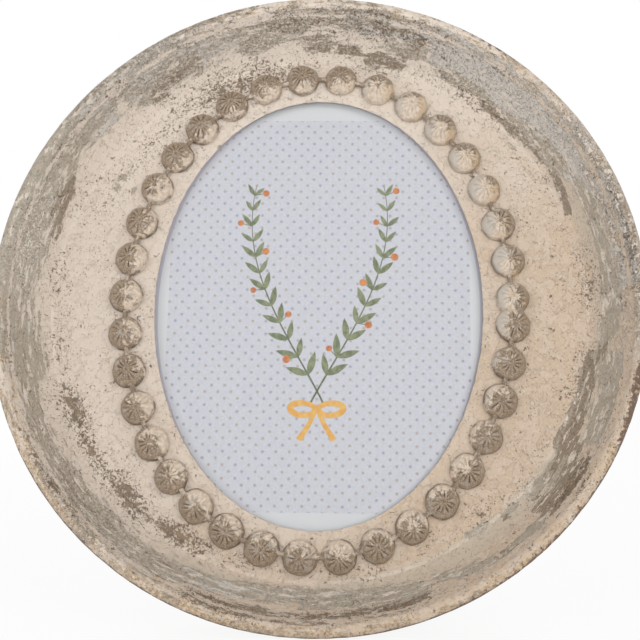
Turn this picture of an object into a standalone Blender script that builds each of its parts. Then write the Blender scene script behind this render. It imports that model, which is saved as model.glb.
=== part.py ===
"""Round metal photo frame with an oval window, a rosette strip and an easel back.

Units are metres and +Z is up. The frame stands on the floor and leans back on
its strut, with the picture towards -Y. Every piece is drawn in the frame's own
axes (x across, y into the depth from the rim's crest, z up the picture) and
hangs on an empty that leans the whole frame back.
"""
import math

import bmesh
import bpy
from mathutils import Matrix, Vector

MM = 0.001

# Window and front shell
WINDOW_HALF_WIDTH = 62.5 * MM
WINDOW_HALF_HEIGHT = 84.0 * MM
FIELD_WIDTH = 18.6 * MM        # from the window's top to the crease circle
RIM_WIDTH = 18.4 * MM          # from the crease circle to the outer edge
SHEET = 1.0 * MM
CREASE_DEPTH = 19.35 * MM      # crease circle behind the rim's crest
FIELD_RISE = 2.55 * MM         # how far the window's lip stands in front of the crease
FIELD_CROWN = 1.8              # exponent of the field's fall from lip to crease
LIP_ROUND = 0.3 * MM
BEAD_RADIUS = 2.6 * MM
COVE_FOOT_ANGLE = math.radians(25.0)
COVE_HEAD_ANGLE = math.radians(62.0)
SIDE_TAPER = math.radians(15.0)
EDGE_FOLD_WIDTH = 5.5 * MM
EDGE_FOLD_ROUND = 1.6 * MM

# Rosette strip
ROSETTE_RADIUS = 6.65 * MM
ROSETTE_HEIGHT = 4.6 * MM
ROSETTE_FLUTES = 12
FLUTE_DEPTH = 0.4 * MM
ROSETTE_PITCH = 14.7 * MM
STRIP_OFFSET_SIDE = 11.3 * MM  # from the window's edge to the rosettes' centres
STRIP_OFFSET_TOP = 9.7 * MM
STRIP_END_GAP = 10.6 * MM      # the first and the last rosette crowd at the seam
SEAM_DROP = 1.6 * MM           # the seam lies this far below the oval's right end
STRIP_DRIFT = 2.6 * MM         # the strip was pulled this far towards the top
NECK_RADIUS = 1.1 * MM

# What lies behind the window
GLASS_OVERLAP = 5.5 * MM
GLASS_THICKNESS = 2.0 * MM
PRINT_THICKNESS = 0.4 * MM
CARD_THICKNESS = 1.5 * MM
BOARD_THICKNESS = 3.0 * MM
REBATE_WALL = 0.8 * MM
BACK_PLATE_THICKNESS = 0.8 * MM

# Turn buttons and their studs
BUTTON_THICKNESS = 1.0 * MM
BUTTON_HUB_RADIUS = 4.6 * MM
BUTTON_NOSE_RADIUS = 3.2 * MM
BUTTON_REACH = 13.0 * MM       # from the pivot to the nose's centre
BUTTON_BEARINGS = (45.0, 135.0, 225.0, 315.0)
STUD_RADIUS = 3.0 * MM
STUD_NECK_RADIUS = 1.5 * MM
STUD_HEAD_RADIUS = 3.0 * MM
STUD_HEAD_HEIGHT = 1.2 * MM
STUD_SPACE = 1.0 * MM          # between a stud and the rebate ring

# Easel strut and its hinge
LEAN = math.radians(13.5)
STRUT_ANGLE = math.radians(25.5)
STRUT_THICKNESS = 3.0 * MM
STRUT_HEAD_WIDTH = 38.0 * MM
STRUT_FOOT_WIDTH = 60.0 * MM
STRUT_CORNER = 5.0 * MM
HINGE_HEIGHT = 38.0 * MM       # above the window's centre
HINGE_WIDTH = 32.0 * MM
HINGE_LEAF_HEIGHT = 18.0 * MM
HINGE_SHEET = 0.8 * MM
KNUCKLE_RADIUS = 2.2 * MM
MIDDLE_KNUCKLE_WIDTH = 11.0 * MM
PIN_RADIUS = 1.0 * MM
PIN_HEAD_RADIUS = 1.8 * MM
PIN_HEAD_WIDTH = 0.8 * MM
STOP_TONGUE_LENGTH = 9.0 * MM
RIVET_RADIUS = 1.2 * MM
RIVET_HEAD_RADIUS = 2.4 * MM
RIVET_HEAD_HEIGHT = 1.1 * MM
RIVET_BITE = 2.4 * MM          # how deep a rivet reaches into the fibreboard
RIVET_INSET = 6.0 * MM         # from a hinge leaf's side to the middle of its rivet

# Hanging ring and its strap
HANGER_HEIGHT = 72.0 * MM      # ring axis above the window's centre
HANGER_WIRE_RADIUS = 1.0 * MM
HANGER_HALF_WIDTH = 6.5 * MM
HANGER_LENGTH = 14.0 * MM
HANGER_CORNER = 1.8 * MM
STRAP_WIDTH = 8.0 * MM
STRAP_HEIGHT = 14.0 * MM
STRAP_SHEET = 0.8 * MM

# Fits
CLEARANCE = 0.3 * MM           # between pieces that touch
PIN_CLEARANCE = 0.25 * MM      # round the hinge pin
EDGE_CLEARANCE = 0.6 * MM      # round the back plate, whose edge meets a rounded corner
GLASS_PLAY = 0.4 * MM          # round the glass, the print and the boards

# Roundness
SHELL_SEGMENTS = 52
OVAL_SEGMENTS = 44
SMALL_SEGMENTS = 12

# Sizes that follow from the ones above
CREASE_RADIUS = WINDOW_HALF_HEIGHT + FIELD_WIDTH
RIM_RADIUS = CREASE_RADIUS + RIM_WIDTH
LIP_DEPTH = CREASE_DEPTH - FIELD_RISE
FLAT_FACTOR = 1.0 / math.cos(math.pi / SHELL_SEGMENTS)
KNUCKLE_BORE = PIN_RADIUS + PIN_CLEARANCE
RING_BORE = HANGER_WIRE_RADIUS + CLEARANCE
STRAP_EYE_RADIUS = RING_BORE + STRAP_SHEET
RIVET_HOLE = RIVET_RADIUS + CLEARANCE


def window_radius(angle):
    """Distance from the centre to the window's edge, for an angle from the top."""
    across = math.sin(angle) / WINDOW_HALF_WIDTH
    upward = math.cos(angle) / WINDOW_HALF_HEIGHT
    return 1.0 / math.hypot(across, upward)


def field_depth(x, z):
    """Depth of the field's front surface, which runs from the lip to the crease."""
    lip = window_radius(math.atan2(x, z))
    share = (math.hypot(x, z) - lip) / (CREASE_RADIUS - lip)
    return LIP_DEPTH + FIELD_RISE * max(share, 0.0) ** FIELD_CROWN


def field_normal(x, z):
    """Direction in which the field's front surface faces."""
    step = 0.5 * MM
    slope_x = (field_depth(x + step, z) - field_depth(x - step, z)) / (2.0 * step)
    slope_z = (field_depth(x, z + step) - field_depth(x, z - step)) / (2.0 * step)
    return Vector((slope_x, -1.0, slope_z)).normalized()


def side_radius(depth):
    """Outer radius of the shell's tapered side, at a depth behind the bead."""
    turn = math.pi / 2 + SIDE_TAPER
    bead_end_radius = RIM_RADIUS - BEAD_RADIUS + BEAD_RADIUS * math.sin(turn)
    bead_end_depth = BEAD_RADIUS - BEAD_RADIUS * math.cos(turn)
    return bead_end_radius - (depth - bead_end_depth) * math.tan(SIDE_TAPER)


# Places in the depth, each reckoned from the piece in front of it
GLASS_HALF_WIDTH = WINDOW_HALF_WIDTH + GLASS_OVERLAP
GLASS_HALF_HEIGHT = WINDOW_HALF_HEIGHT + GLASS_OVERLAP
REBATE_HALF_WIDTH = GLASS_HALF_WIDTH + GLASS_PLAY
REBATE_HALF_HEIGHT = GLASS_HALF_HEIGHT + GLASS_PLAY
GLASS_FRONT = field_depth(0.0, GLASS_HALF_HEIGHT) + SHEET + CLEARANCE
PRINT_FRONT = GLASS_FRONT + GLASS_THICKNESS + CLEARANCE
CARD_FRONT = PRINT_FRONT + PRINT_THICKNESS + CLEARANCE
BOARD_FRONT = CARD_FRONT + CARD_THICKNESS + CLEARANCE
BOARD_REAR = BOARD_FRONT + BOARD_THICKNESS
REBATE_FRONT = field_depth(0.0, REBATE_HALF_HEIGHT + REBATE_WALL) + SHEET + CLEARANCE
REBATE_REAR = BOARD_REAR - CLEARANCE
PLATE_FRONT = CREASE_DEPTH + SHEET + CLEARANCE
PLATE_REAR = PLATE_FRONT + BACK_PLATE_THICKNESS
EDGE_REAR = PLATE_REAR + CLEARANCE + SHEET
BUTTON_FRONT = BOARD_REAR + CLEARANCE
BUTTON_REAR = BUTTON_FRONT + BUTTON_THICKNESS
HINGE_DEPTH = BOARD_REAR + CLEARANCE + KNUCKLE_RADIUS
HANGER_DEPTH = BOARD_REAR + CLEARANCE + STRAP_EYE_RADIUS
PLATE_RADIUS = side_radius(PLATE_REAR) - SHEET / math.cos(SIDE_TAPER) - EDGE_CLEARANCE

# The strut, in axes at the hinge pin that turn with it
STRUT_REAR = KNUCKLE_RADIUS - HINGE_SHEET - CLEARANCE
STRUT_FRONT = STRUT_REAR - STRUT_THICKNESS
STRUT_TOP = -KNUCKLE_RADIUS - CLEARANCE
STRUT_TILT = STRUT_ANGLE - LEAN
LEAF_GAP = KNUCKLE_RADIUS + 2.0 * CLEARANCE


def shell_profile():
    """Rim section as (radius, depth) points, from the crease to the folded edge."""
    bead_centre = (RIM_RADIUS - BEAD_RADIUS, BEAD_RADIUS)
    head = (bead_centre[0] - BEAD_RADIUS * math.sin(COVE_HEAD_ANGLE),
            bead_centre[1] - BEAD_RADIUS * math.cos(COVE_HEAD_ANGLE))
    foot = (CREASE_RADIUS, CREASE_DEPTH)
    # The cove leaves the crease along one slope and meets the bead along the other
    foot_slope = (math.cos(COVE_FOOT_ANGLE), -math.sin(COVE_FOOT_ANGLE))
    head_slope = (math.cos(COVE_HEAD_ANGLE), -math.sin(COVE_HEAD_ANGLE))
    span = (head[0] - foot[0], head[1] - foot[1])
    cross = foot_slope[0] * head_slope[1] - foot_slope[1] * head_slope[0]
    along = (span[0] * head_slope[1] - span[1] * head_slope[0]) / cross
    bend = (foot[0] + along * foot_slope[0], foot[1] + along * foot_slope[1])
    points = []
    cove_steps = 3
    for i in range(cove_steps):
        t = i / cove_steps
        weights = ((1.0 - t) ** 2, 2.0 * t * (1.0 - t), t * t)
        points.append(tuple(weights[0] * foot[k] + weights[1] * bend[k] + weights[2] * head[k]
                            for k in range(2)))
    # The bead has a point on the crest and one on the outermost edge
    inner_steps = 2
    outer_steps = 3
    turns = [-COVE_HEAD_ANGLE * (1.0 - i / inner_steps) for i in range(inner_steps)]
    turns += [math.pi / 2 * i / outer_steps for i in range(outer_steps + 1)]
    turns.append(math.pi / 2 + SIDE_TAPER)
    for turn in turns:
        points.append((bead_centre[0] + BEAD_RADIUS * math.sin(turn),
                       bead_centre[1] - BEAD_RADIUS * math.cos(turn)))
    # The side draws in to the corner, where the edge folds over the back plate
    corner_depth = EDGE_REAR - EDGE_FOLD_ROUND
    corner_centre = side_radius(corner_depth) - EDGE_FOLD_ROUND
    corner_steps = 2
    for i in range(corner_steps + 1):
        turn = math.pi / 2 * i / corner_steps
        points.append((corner_centre + EDGE_FOLD_ROUND * math.cos(turn),
                       corner_depth + EDGE_FOLD_ROUND * math.sin(turn)))
    points.append((corner_centre + EDGE_FOLD_ROUND - EDGE_FOLD_WIDTH, EDGE_REAR))
    return points


# How the leaning frame stands: its centre above the floor, its pin above the floor
RIM_DROP = max(r * math.cos(LEAN) + y * math.sin(LEAN) for r, y in shell_profile())
RIM_FRONT = min(y * math.cos(LEAN) - r * math.sin(LEAN) for r, y in shell_profile())
PIN_RISE = RIM_DROP + HINGE_HEIGHT * math.cos(LEAN) - HINGE_DEPTH * math.sin(LEAN)
PIN_BACK = HINGE_HEIGHT * math.sin(LEAN) + HINGE_DEPTH * math.cos(LEAN)


def strut_foot(depth):
    """Height of the strut's end in its own axes, cut level with the floor."""
    return -(PIN_RISE + depth * math.sin(STRUT_TILT)) / math.cos(STRUT_TILT)


STRUT_BACK = PIN_BACK + STRUT_REAR * math.cos(STRUT_TILT) - strut_foot(STRUT_REAR) * math.sin(STRUT_TILT)


# Workshop helpers
def clear_scene():
    for item in list(bpy.data.objects):
        bpy.data.objects.remove(item, do_unlink=True)


def new_collection(name):
    collection = bpy.data.collections.new(name)
    bpy.context.scene.collection.children.link(collection)
    return collection


def new_material(name, colour, roughness, metallic=0.0, alpha=1.0):
    material = bpy.data.materials.new(name)
    material.use_nodes = True
    shader = material.node_tree.nodes["Principled BSDF"]
    shader.inputs["Base Color"].default_value = (*colour, 1.0)
    shader.inputs["Roughness"].default_value = roughness
    shader.inputs["Metallic"].default_value = metallic
    shader.inputs["Alpha"].default_value = alpha
    return material


def new_empty(name, parent, location, tilt):
    empty = bpy.data.objects.new(name, None)
    empty.empty_display_size = 10.0 * MM
    empty.location = location
    empty.rotation_euler = (tilt, 0.0, 0.0)
    empty.parent = parent
    PARTS.objects.link(empty)
    return empty


def new_piece(name, mesh, parent, material, place=None):
    mesh.name = name
    mesh.materials.clear()
    mesh.materials.append(material)
    piece = bpy.data.objects.new(name, mesh)
    piece.parent = parent
    if place is not None:
        piece.matrix_basis = place
    PARTS.objects.link(piece)
    return piece


def combine(piece, tool_mesh, operation):
    """Join a tool shape to a piece or cut it out, in the piece's own axes."""
    tool = bpy.data.objects.new(piece.name + "_" + operation.lower(), tool_mesh)
    tool.parent = piece.parent
    tool.matrix_basis = piece.matrix_basis
    tool.hide_render = True
    tool.display_type = "WIRE"
    TOOLS.objects.link(tool)
    modifier = piece.modifiers.new(operation.title(), "BOOLEAN")
    modifier.operation = operation
    modifier.solver = "EXACT"
    modifier.object = tool


def evaluated_mesh(source):
    """Mesh of an object as its modifiers or curve settings make it; removes the object."""
    bpy.context.view_layer.update()
    graph = bpy.context.evaluated_depsgraph_get()
    mesh = bpy.data.meshes.new_from_object(source.evaluated_get(graph))
    bpy.data.objects.remove(source, do_unlink=True)
    return mesh


def mesh_from(builder):
    mesh = bpy.data.meshes.new("shape")
    builder.to_mesh(mesh)
    builder.free()
    return mesh


def welded(mesh):
    builder = bmesh.new()
    builder.from_mesh(mesh)
    bmesh.ops.remove_doubles(builder, verts=builder.verts, dist=0.001 * MM)
    builder.to_mesh(mesh)
    builder.free()
    return mesh


def copies(mesh, places):
    """One mesh that holds the given mesh at every place."""
    builder = bmesh.new()
    for place in places:
        start = len(builder.verts)
        builder.from_mesh(mesh)
        builder.verts.ensure_lookup_table()
        bmesh.ops.transform(builder, matrix=place, verts=builder.verts[start:])
    return mesh_from(builder)


def smooth(mesh, angle=40.0):
    mesh.shade_smooth()
    mesh.set_sharp_from_angle(angle=math.radians(angle))
    return mesh


def box(x, y, z):
    """Box between the given (low, high) pairs."""
    builder = bmesh.new()
    size = Matrix.Diagonal((x[1] - x[0], y[1] - y[0], z[1] - z[0], 1.0))
    centre = Matrix.Translation(((x[0] + x[1]) / 2, (y[0] + y[1]) / 2, (z[0] + z[1]) / 2))
    bmesh.ops.create_cube(builder, size=1.0, matrix=centre @ size)
    return mesh_from(builder)


def cross_rod(radius, low, high):
    """Rod along x whose flats lie square to y and z."""
    builder = bmesh.new()
    half_step = Matrix.Rotation(math.pi / SMALL_SEGMENTS, 4, "Z")
    lie_down = Matrix.Rotation(math.pi / 2, 4, "Y")
    place = Matrix.Translation(((low + high) / 2, 0.0, 0.0)) @ lie_down @ half_step
    bmesh.ops.create_cone(builder, cap_ends=True, segments=SMALL_SEGMENTS, radius1=radius,
                          radius2=radius, depth=high - low, matrix=place)
    return mesh_from(builder)


def turned(profile):
    """Solid of revolution about z, from (radius, height) points read top to bottom."""
    mesh = bpy.data.meshes.new("profile")
    edges = [(i, i + 1) for i in range(len(profile) - 1)]
    mesh.from_pydata([(r, 0.0, z) for r, z in profile], edges, [])
    source = bpy.data.objects.new("profile", mesh)
    TOOLS.objects.link(source)
    screw = source.modifiers.new("Turn", "SCREW")
    screw.axis = "Z"
    screw.steps = SMALL_SEGMENTS
    screw.render_steps = SMALL_SEGMENTS
    screw.use_merge_vertices = True
    screw.merge_threshold = 0.01 * MM
    return smooth(evaluated_mesh(source))


def flat_shape(outlines, thickness):
    """Flat plate from closed outlines in x and y, the first one round the others."""
    curve = bpy.data.curves.new("outline", "CURVE")
    curve.dimensions = "2D"
    curve.fill_mode = "BOTH"
    curve.extrude = thickness / 2
    for outline in outlines:
        spline = curve.splines.new("POLY")
        spline.points.add(len(outline) - 1)
        for point, (x, y) in zip(spline.points, outline):
            point.co = (x, y, 0.0, 1.0)
        spline.use_cyclic_u = True
    source = bpy.data.objects.new("outline", curve)
    TOOLS.objects.link(source)
    return smooth(welded(evaluated_mesh(source)))


def oval(half_width, half_height, segments=OVAL_SEGMENTS):
    turns = [2.0 * math.pi * (i + 0.5) / segments for i in range(segments)]
    return [(half_width * math.cos(turn), half_height * math.sin(turn)) for turn in turns]


def upright(y, x=0.0, z=0.0, spin=0.0):
    """Stand a shape drawn in x and y up in the picture's plane, at depth y."""
    return (Matrix.Translation((x, y, z)) @ Matrix.Rotation(spin, 4, "Y")
            @ Matrix.Rotation(math.pi / 2, 4, "X"))


def facing_back(x, y, z):
    """Place for a turned solid whose head points out of the frame's back."""
    return Matrix.Translation((x, y, z)) @ Matrix.Rotation(-math.pi / 2, 4, "X")


def wire(points, radius, closed, roundness):
    curve = bpy.data.curves.new("wire", "CURVE")
    curve.dimensions = "3D"
    curve.bevel_depth = radius
    curve.bevel_resolution = roundness
    curve.use_fill_caps = not closed
    spline = curve.splines.new("POLY")
    spline.points.add(len(points) - 1)
    for point, place in zip(spline.points, points):
        point.co = (*place, 1.0)
    spline.use_cyclic_u = closed
    source = bpy.data.objects.new("wire", curve)
    TOOLS.objects.link(source)
    return smooth(welded(evaluated_mesh(source)))


# Front shell: a loft from the oval lip to the round crease, then the rim's section
def make_front_shell(parent):
    profile = shell_profile()
    field_shares = (0.3, 0.7)
    rows = []
    for i in range(SHELL_SEGMENTS):
        angle = 2.0 * math.pi * (i + 0.5) / SHELL_SEGMENTS
        lip = window_radius(angle)
        crease = CREASE_RADIUS * FLAT_FACTOR
        row = [(lip, LIP_DEPTH + LIP_ROUND), (lip + LIP_ROUND, LIP_DEPTH)]
        for share in field_shares:
            row.append((lip + (crease - lip) * share, LIP_DEPTH + FIELD_RISE * share ** FIELD_CROWN))
        row += [(radius * FLAT_FACTOR, depth) for radius, depth in profile]
        rows.append([(r * math.sin(angle), y, r * math.cos(angle)) for r, y in row])
    builder = bmesh.new()
    grid = [[builder.verts.new(place) for place in row] for row in rows]
    for i, row in enumerate(grid):
        following = grid[(i + 1) % SHELL_SEGMENTS]
        for j in range(len(row) - 1):
            builder.faces.new((row[j], following[j], following[j + 1], row[j + 1]))
    shell = new_piece("front_shell", smooth(mesh_from(builder)), parent, WORN_PAINT)
    solidify = shell.modifiers.new("Sheet", "SOLIDIFY")
    solidify.thickness = SHEET
    solidify.offset = -1.0
    solidify.use_even_offset = True
    return shell


# Rosette strip: fluted domes joined by a thin neck, laid on the field
def strip_oval():
    """Points of the strip's oval, clockwise from the top, with the length up to each."""
    half_width = WINDOW_HALF_WIDTH + STRIP_OFFSET_SIDE
    half_height = WINDOW_HALF_HEIGHT + STRIP_OFFSET_TOP
    steps = 3600
    points = []
    length = 0.0
    for i in range(steps + 1):
        turn = 2.0 * math.pi * i / steps
        place = (half_width * math.sin(turn), half_height * math.cos(turn))
        if points:
            length += math.dist(place, points[-1][1])
        points.append((length, place))
    return points


def place_on_oval(points, length):
    """Point of the oval at a length from its top, any number of turns round."""
    total = points[-1][0]
    wanted = length % total
    low = 0
    high = len(points) - 1
    while high - low > 1:
        middle = (low + high) // 2
        if points[middle][0] <= wanted:
            low = middle
        else:
            high = middle
    share = (wanted - points[low][0]) / (points[high][0] - points[low][0])
    return tuple(a + (b - a) * share for a, b in zip(points[low][1], points[high][1]))


def drifted(length, total):
    """Where a point of the strip lies after the strip was pulled towards the top."""
    return length + STRIP_DRIFT * (math.sin(2.0 * math.pi * length / total) - 1.0)


def rosette_mesh():
    builder = bmesh.new()
    bmesh.ops.create_uvsphere(builder, u_segments=2 * ROSETTE_FLUTES, v_segments=6, radius=1.0)
    below = [vert for vert in builder.verts if vert.co.z < -0.1]
    bmesh.ops.delete(builder, geom=below, context="VERTS")
    bmesh.ops.holes_fill(builder, edges=builder.edges)
    scale = Matrix.Diagonal((ROSETTE_RADIUS, ROSETTE_RADIUS, ROSETTE_HEIGHT, 1.0))
    bmesh.ops.transform(builder, matrix=scale, verts=builder.verts)
    # Every second meridian is sunk into a flute between the rim and the crown
    for vert in builder.verts:
        meridian = round(math.atan2(vert.co.y, vert.co.x) / (math.pi / ROSETTE_FLUTES))
        on_slope = 0.1 * ROSETTE_HEIGHT < vert.co.z < 0.95 * ROSETTE_HEIGHT
        if on_slope and meridian % 2:
            vert.co -= vert.co.normalized() * FLUTE_DEPTH
    bmesh.ops.recalc_face_normals(builder, faces=builder.faces)
    return mesh_from(builder)


def make_rosette_strip(parent):
    points = strip_oval()
    total = points[-1][0]
    count = round(total / ROSETTE_PITCH)
    pitch = (total - STRIP_END_GAP) / (count - 1)
    first = total / 4 + SEAM_DROP + STRIP_END_GAP / 2

    def seat(steps, height):
        """Point above the field, and the field's normal, some rosette steps along."""
        x, z = place_on_oval(points, drifted(first + pitch * steps, total))
        normal = field_normal(x, z)
        return Vector((x, field_depth(x, z), z)) + normal * height, normal

    places = []
    for k in range(count):
        centre, normal = seat(k, CLEARANCE)
        turn = Vector((0, 0, 1)).rotation_difference(normal).to_matrix().to_4x4()
        places.append(Matrix.Translation(centre) @ turn)
    neck_line = [seat(k, 2.0 * CLEARANCE + NECK_RADIUS)[0] for k in range(count)]
    strip = new_piece("rosette_strip", wire(neck_line, NECK_RADIUS, False, 0), parent, WORN_METAL)
    # Every second dome at a time and the last one by itself, because the two at the seam
    # run into each other
    dome = rosette_mesh()
    for group in (places[0:-1:2], places[1:-1:2], places[-1:]):
        combine(strip, copies(dome, group), "UNION")


# The pack behind the window, all ovals about the same centre
def make_window_pack(parent):
    rebate_outer = (REBATE_HALF_WIDTH + REBATE_WALL, REBATE_HALF_HEIGHT + REBATE_WALL)
    plate_hole = (rebate_outer[0] + CLEARANCE, rebate_outer[1] + CLEARANCE)
    glass = oval(GLASS_HALF_WIDTH, GLASS_HALF_HEIGHT)
    sheets = (
        ("back_plate", [oval(PLATE_RADIUS, PLATE_RADIUS), oval(*plate_hole)],
         PLATE_FRONT, BACK_PLATE_THICKNESS, BARE_STEEL),
        ("rebate_ring", [oval(*rebate_outer), oval(REBATE_HALF_WIDTH, REBATE_HALF_HEIGHT)],
         REBATE_FRONT, REBATE_REAR - REBATE_FRONT, BARE_STEEL),
        ("glass_pane", [glass], GLASS_FRONT, GLASS_THICKNESS, CLEAR_GLASS),
        ("photo_print", [glass], PRINT_FRONT, PRINT_THICKNESS, PRINTED_PAPER),
        ("filler_card", [glass], CARD_FRONT, CARD_THICKNESS, GREY_CARD),
        ("back_board", [glass], BOARD_FRONT, BOARD_THICKNESS, BLACK_BOARD),
    )
    for name, outlines, front, thickness, material in sheets:
        new_piece(name, flat_shape(outlines, thickness), parent, material,
                  upright(front + thickness / 2))


# Turn buttons, riveted on studs outside the rebate ring and pointing inwards
def button_outline():
    """Round hub and smaller round nose, joined by their common tangents."""
    tangent = math.acos((BUTTON_HUB_RADIUS - BUTTON_NOSE_RADIUS) / BUTTON_REACH)
    steps = 7
    outline = []
    for i in range(steps + 1):
        turn = tangent + (2.0 * math.pi - 2.0 * tangent) * i / steps
        outline.append((BUTTON_HUB_RADIUS * math.cos(turn), BUTTON_HUB_RADIUS * math.sin(turn)))
    for i in range(steps + 1):
        turn = -tangent + 2.0 * tangent * i / steps
        outline.append((BUTTON_REACH + BUTTON_NOSE_RADIUS * math.cos(turn),
                        BUTTON_NOSE_RADIUS * math.sin(turn)))
    return outline


def button_pivots():
    """Place of every stud and the turn that points its button square to the oval."""
    beyond = REBATE_WALL + STUD_SPACE + STUD_RADIUS
    half_width = REBATE_HALF_WIDTH + beyond
    half_height = REBATE_HALF_HEIGHT + beyond
    pivots = []
    for bearing in BUTTON_BEARINGS:
        turn = math.radians(bearing)
        x = half_width * math.sin(turn)
        z = half_height * math.cos(turn)
        inward = (-x / half_width ** 2, -z / half_height ** 2)
        pivots.append((x, z, -math.atan2(inward[1], inward[0])))
    return pivots


def make_turn_buttons(parent):
    hole = STUD_NECK_RADIUS + CLEARANCE
    shape = flat_shape([button_outline(), oval(hole, hole, SMALL_SEGMENTS)], BUTTON_THICKNESS)
    pivots = button_pivots()
    for number, (x, z, spin) in enumerate(pivots, start=1):
        new_piece("turn_button_%d" % number, shape.copy(), parent, PLATED_STEEL,
                  upright((BUTTON_FRONT + BUTTON_REAR) / 2, x, z, spin))
    head_base = BUTTON_REAR + CLEARANCE
    head_top = head_base + STUD_HEAD_HEIGHT
    shoulder = BUTTON_FRONT - CLEARANCE
    foot = PLATE_REAR + CLEARANCE
    profile = ((0.0, head_top), (0.8 * STUD_HEAD_RADIUS, head_top),
               (STUD_HEAD_RADIUS, head_base), (STUD_NECK_RADIUS, head_base),
               (STUD_NECK_RADIUS, shoulder), (STUD_RADIUS, shoulder),
               (STUD_RADIUS, foot), (0.0, foot))
    stud = turned(profile)
    for number, (x, z, spin) in enumerate(pivots, start=1):
        new_piece("button_stud_%d" % number, stud.copy(), parent, PLATED_STEEL,
                  facing_back(x, 0.0, z))


def rivet_mesh(grip):
    """Rivet whose head sits at height 0, with the shank grip long below it."""
    profile = ((0.0, RIVET_HEAD_HEIGHT), (0.6 * RIVET_HEAD_RADIUS, 0.8 * RIVET_HEAD_HEIGHT),
               (RIVET_HEAD_RADIUS, 0.0), (RIVET_RADIUS, 0.0), (RIVET_RADIUS, -grip), (0.0, -grip))
    return turned(profile)


def rivet_holes(places, depth):
    """Cutter for the holes of rivets that stand at the given places."""
    builder = bmesh.new()
    for place in places:
        bmesh.ops.create_cone(builder, cap_ends=True, segments=SMALL_SEGMENTS, radius1=RIVET_HOLE,
                              radius2=RIVET_HOLE, depth=2.0 * depth, matrix=place)
    return mesh_from(builder)


# Easel strut with its hinge; what turns is drawn folded, in axes at the pin
def make_hinge(parent, swing):
    half_width = HINGE_WIDTH / 2
    half_middle = MIDDLE_KNUCKLE_WIDTH / 2
    side_knuckles = ((half_middle + CLEARANCE, half_width), (-half_width, -half_middle - CLEARANCE))
    sheet_rear = KNUCKLE_RADIUS - HINGE_SHEET

    # Leaf on the board: a plate above the pin and a knuckle at each side
    at_pin = Matrix.Translation((0.0, HINGE_DEPTH, HINGE_HEIGHT))
    plate = box((-half_width, half_width), (-KNUCKLE_RADIUS, -sheet_rear),
                (LEAF_GAP, HINGE_LEAF_HEIGHT))
    board_leaf = new_piece("hinge_board_leaf", plate, parent, PLATED_STEEL, at_pin)
    for low, high in side_knuckles:
        lug = box((low, high), (-KNUCKLE_RADIUS, -sheet_rear), (0.0, LEAF_GAP + CLEARANCE))
        combine(board_leaf, lug, "UNION")
        combine(board_leaf, cross_rod(KNUCKLE_RADIUS, low, high), "UNION")
    combine(board_leaf, cross_rod(KNUCKLE_BORE, -HINGE_WIDTH, HINGE_WIDTH), "DIFFERENCE")

    # Leaf on the strut: a plate below the pin, the middle knuckle and the stop tongue
    plate = box((-half_width, half_width), (sheet_rear, KNUCKLE_RADIUS),
                (-HINGE_LEAF_HEIGHT, -LEAF_GAP))
    strut_leaf = new_piece("hinge_strut_leaf", plate, swing, PLATED_STEEL)
    lug = box((-half_middle, half_middle), (sheet_rear, KNUCKLE_RADIUS), (-LEAF_GAP - CLEARANCE, 0.0))
    combine(strut_leaf, lug, "UNION")
    combine(strut_leaf, cross_rod(KNUCKLE_RADIUS, -half_middle, half_middle), "UNION")
    tongue = box((-half_middle + CLEARANCE, half_middle - CLEARANCE),
                 (CLEARANCE - sheet_rear, CLEARANCE - sheet_rear + HINGE_SHEET),
                 (0.0, STOP_TONGUE_LENGTH))
    tongue.transform(Matrix.Rotation(-STRUT_ANGLE, 4, "X"))
    combine(strut_leaf, tongue, "UNION")
    combine(strut_leaf, cross_rod(KNUCKLE_BORE, -half_width, half_width), "DIFFERENCE")

    # Pin with a head at both ends
    head = half_width + CLEARANCE
    profile = ((0.0, head + PIN_HEAD_WIDTH), (PIN_HEAD_RADIUS, head + PIN_HEAD_WIDTH),
               (PIN_HEAD_RADIUS, head), (PIN_RADIUS, head), (PIN_RADIUS, -head),
               (PIN_HEAD_RADIUS, -head), (PIN_HEAD_RADIUS, -head - PIN_HEAD_WIDTH),
               (0.0, -head - PIN_HEAD_WIDTH))
    new_piece("hinge_pin", turned(profile), parent, PLATED_STEEL,
              at_pin @ Matrix.Rotation(math.pi / 2, 4, "Y"))

    # Rivets of both leaves, and the holes that they stand in
    rivet_line = (LEAF_GAP + HINGE_LEAF_HEIGHT) / 2
    grip = 2.0 * CLEARANCE + HINGE_SHEET + RIVET_BITE
    spots = (RIVET_INSET - half_width, half_width - RIVET_INSET)
    board_seats = [facing_back(x, HINGE_DEPTH - sheet_rear + CLEARANCE, HINGE_HEIGHT + rivet_line)
                   for x in spots]
    strut_seats = [facing_back(x, KNUCKLE_RADIUS + CLEARANCE, -rivet_line) for x in spots]
    rivet = rivet_mesh(grip)
    for name, axes, seats in (("board_rivet", parent, board_seats), ("strut_rivet", swing, strut_seats)):
        for number, seat in enumerate(seats, start=1):
            new_piece("%s_%d" % (name, number), rivet.copy(), axes, PLATED_STEEL, seat)
    hole_depth = grip + CLEARANCE
    board_tool = rivet_holes(board_seats, hole_depth)
    strut_tool = rivet_holes(strut_seats, hole_depth)
    leaf_tool = board_tool.copy()
    leaf_tool.transform(at_pin.inverted())
    combine(board_leaf, leaf_tool, "DIFFERENCE")
    combine(strut_leaf, strut_tool.copy(), "DIFFERENCE")
    return board_tool, strut_tool


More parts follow.
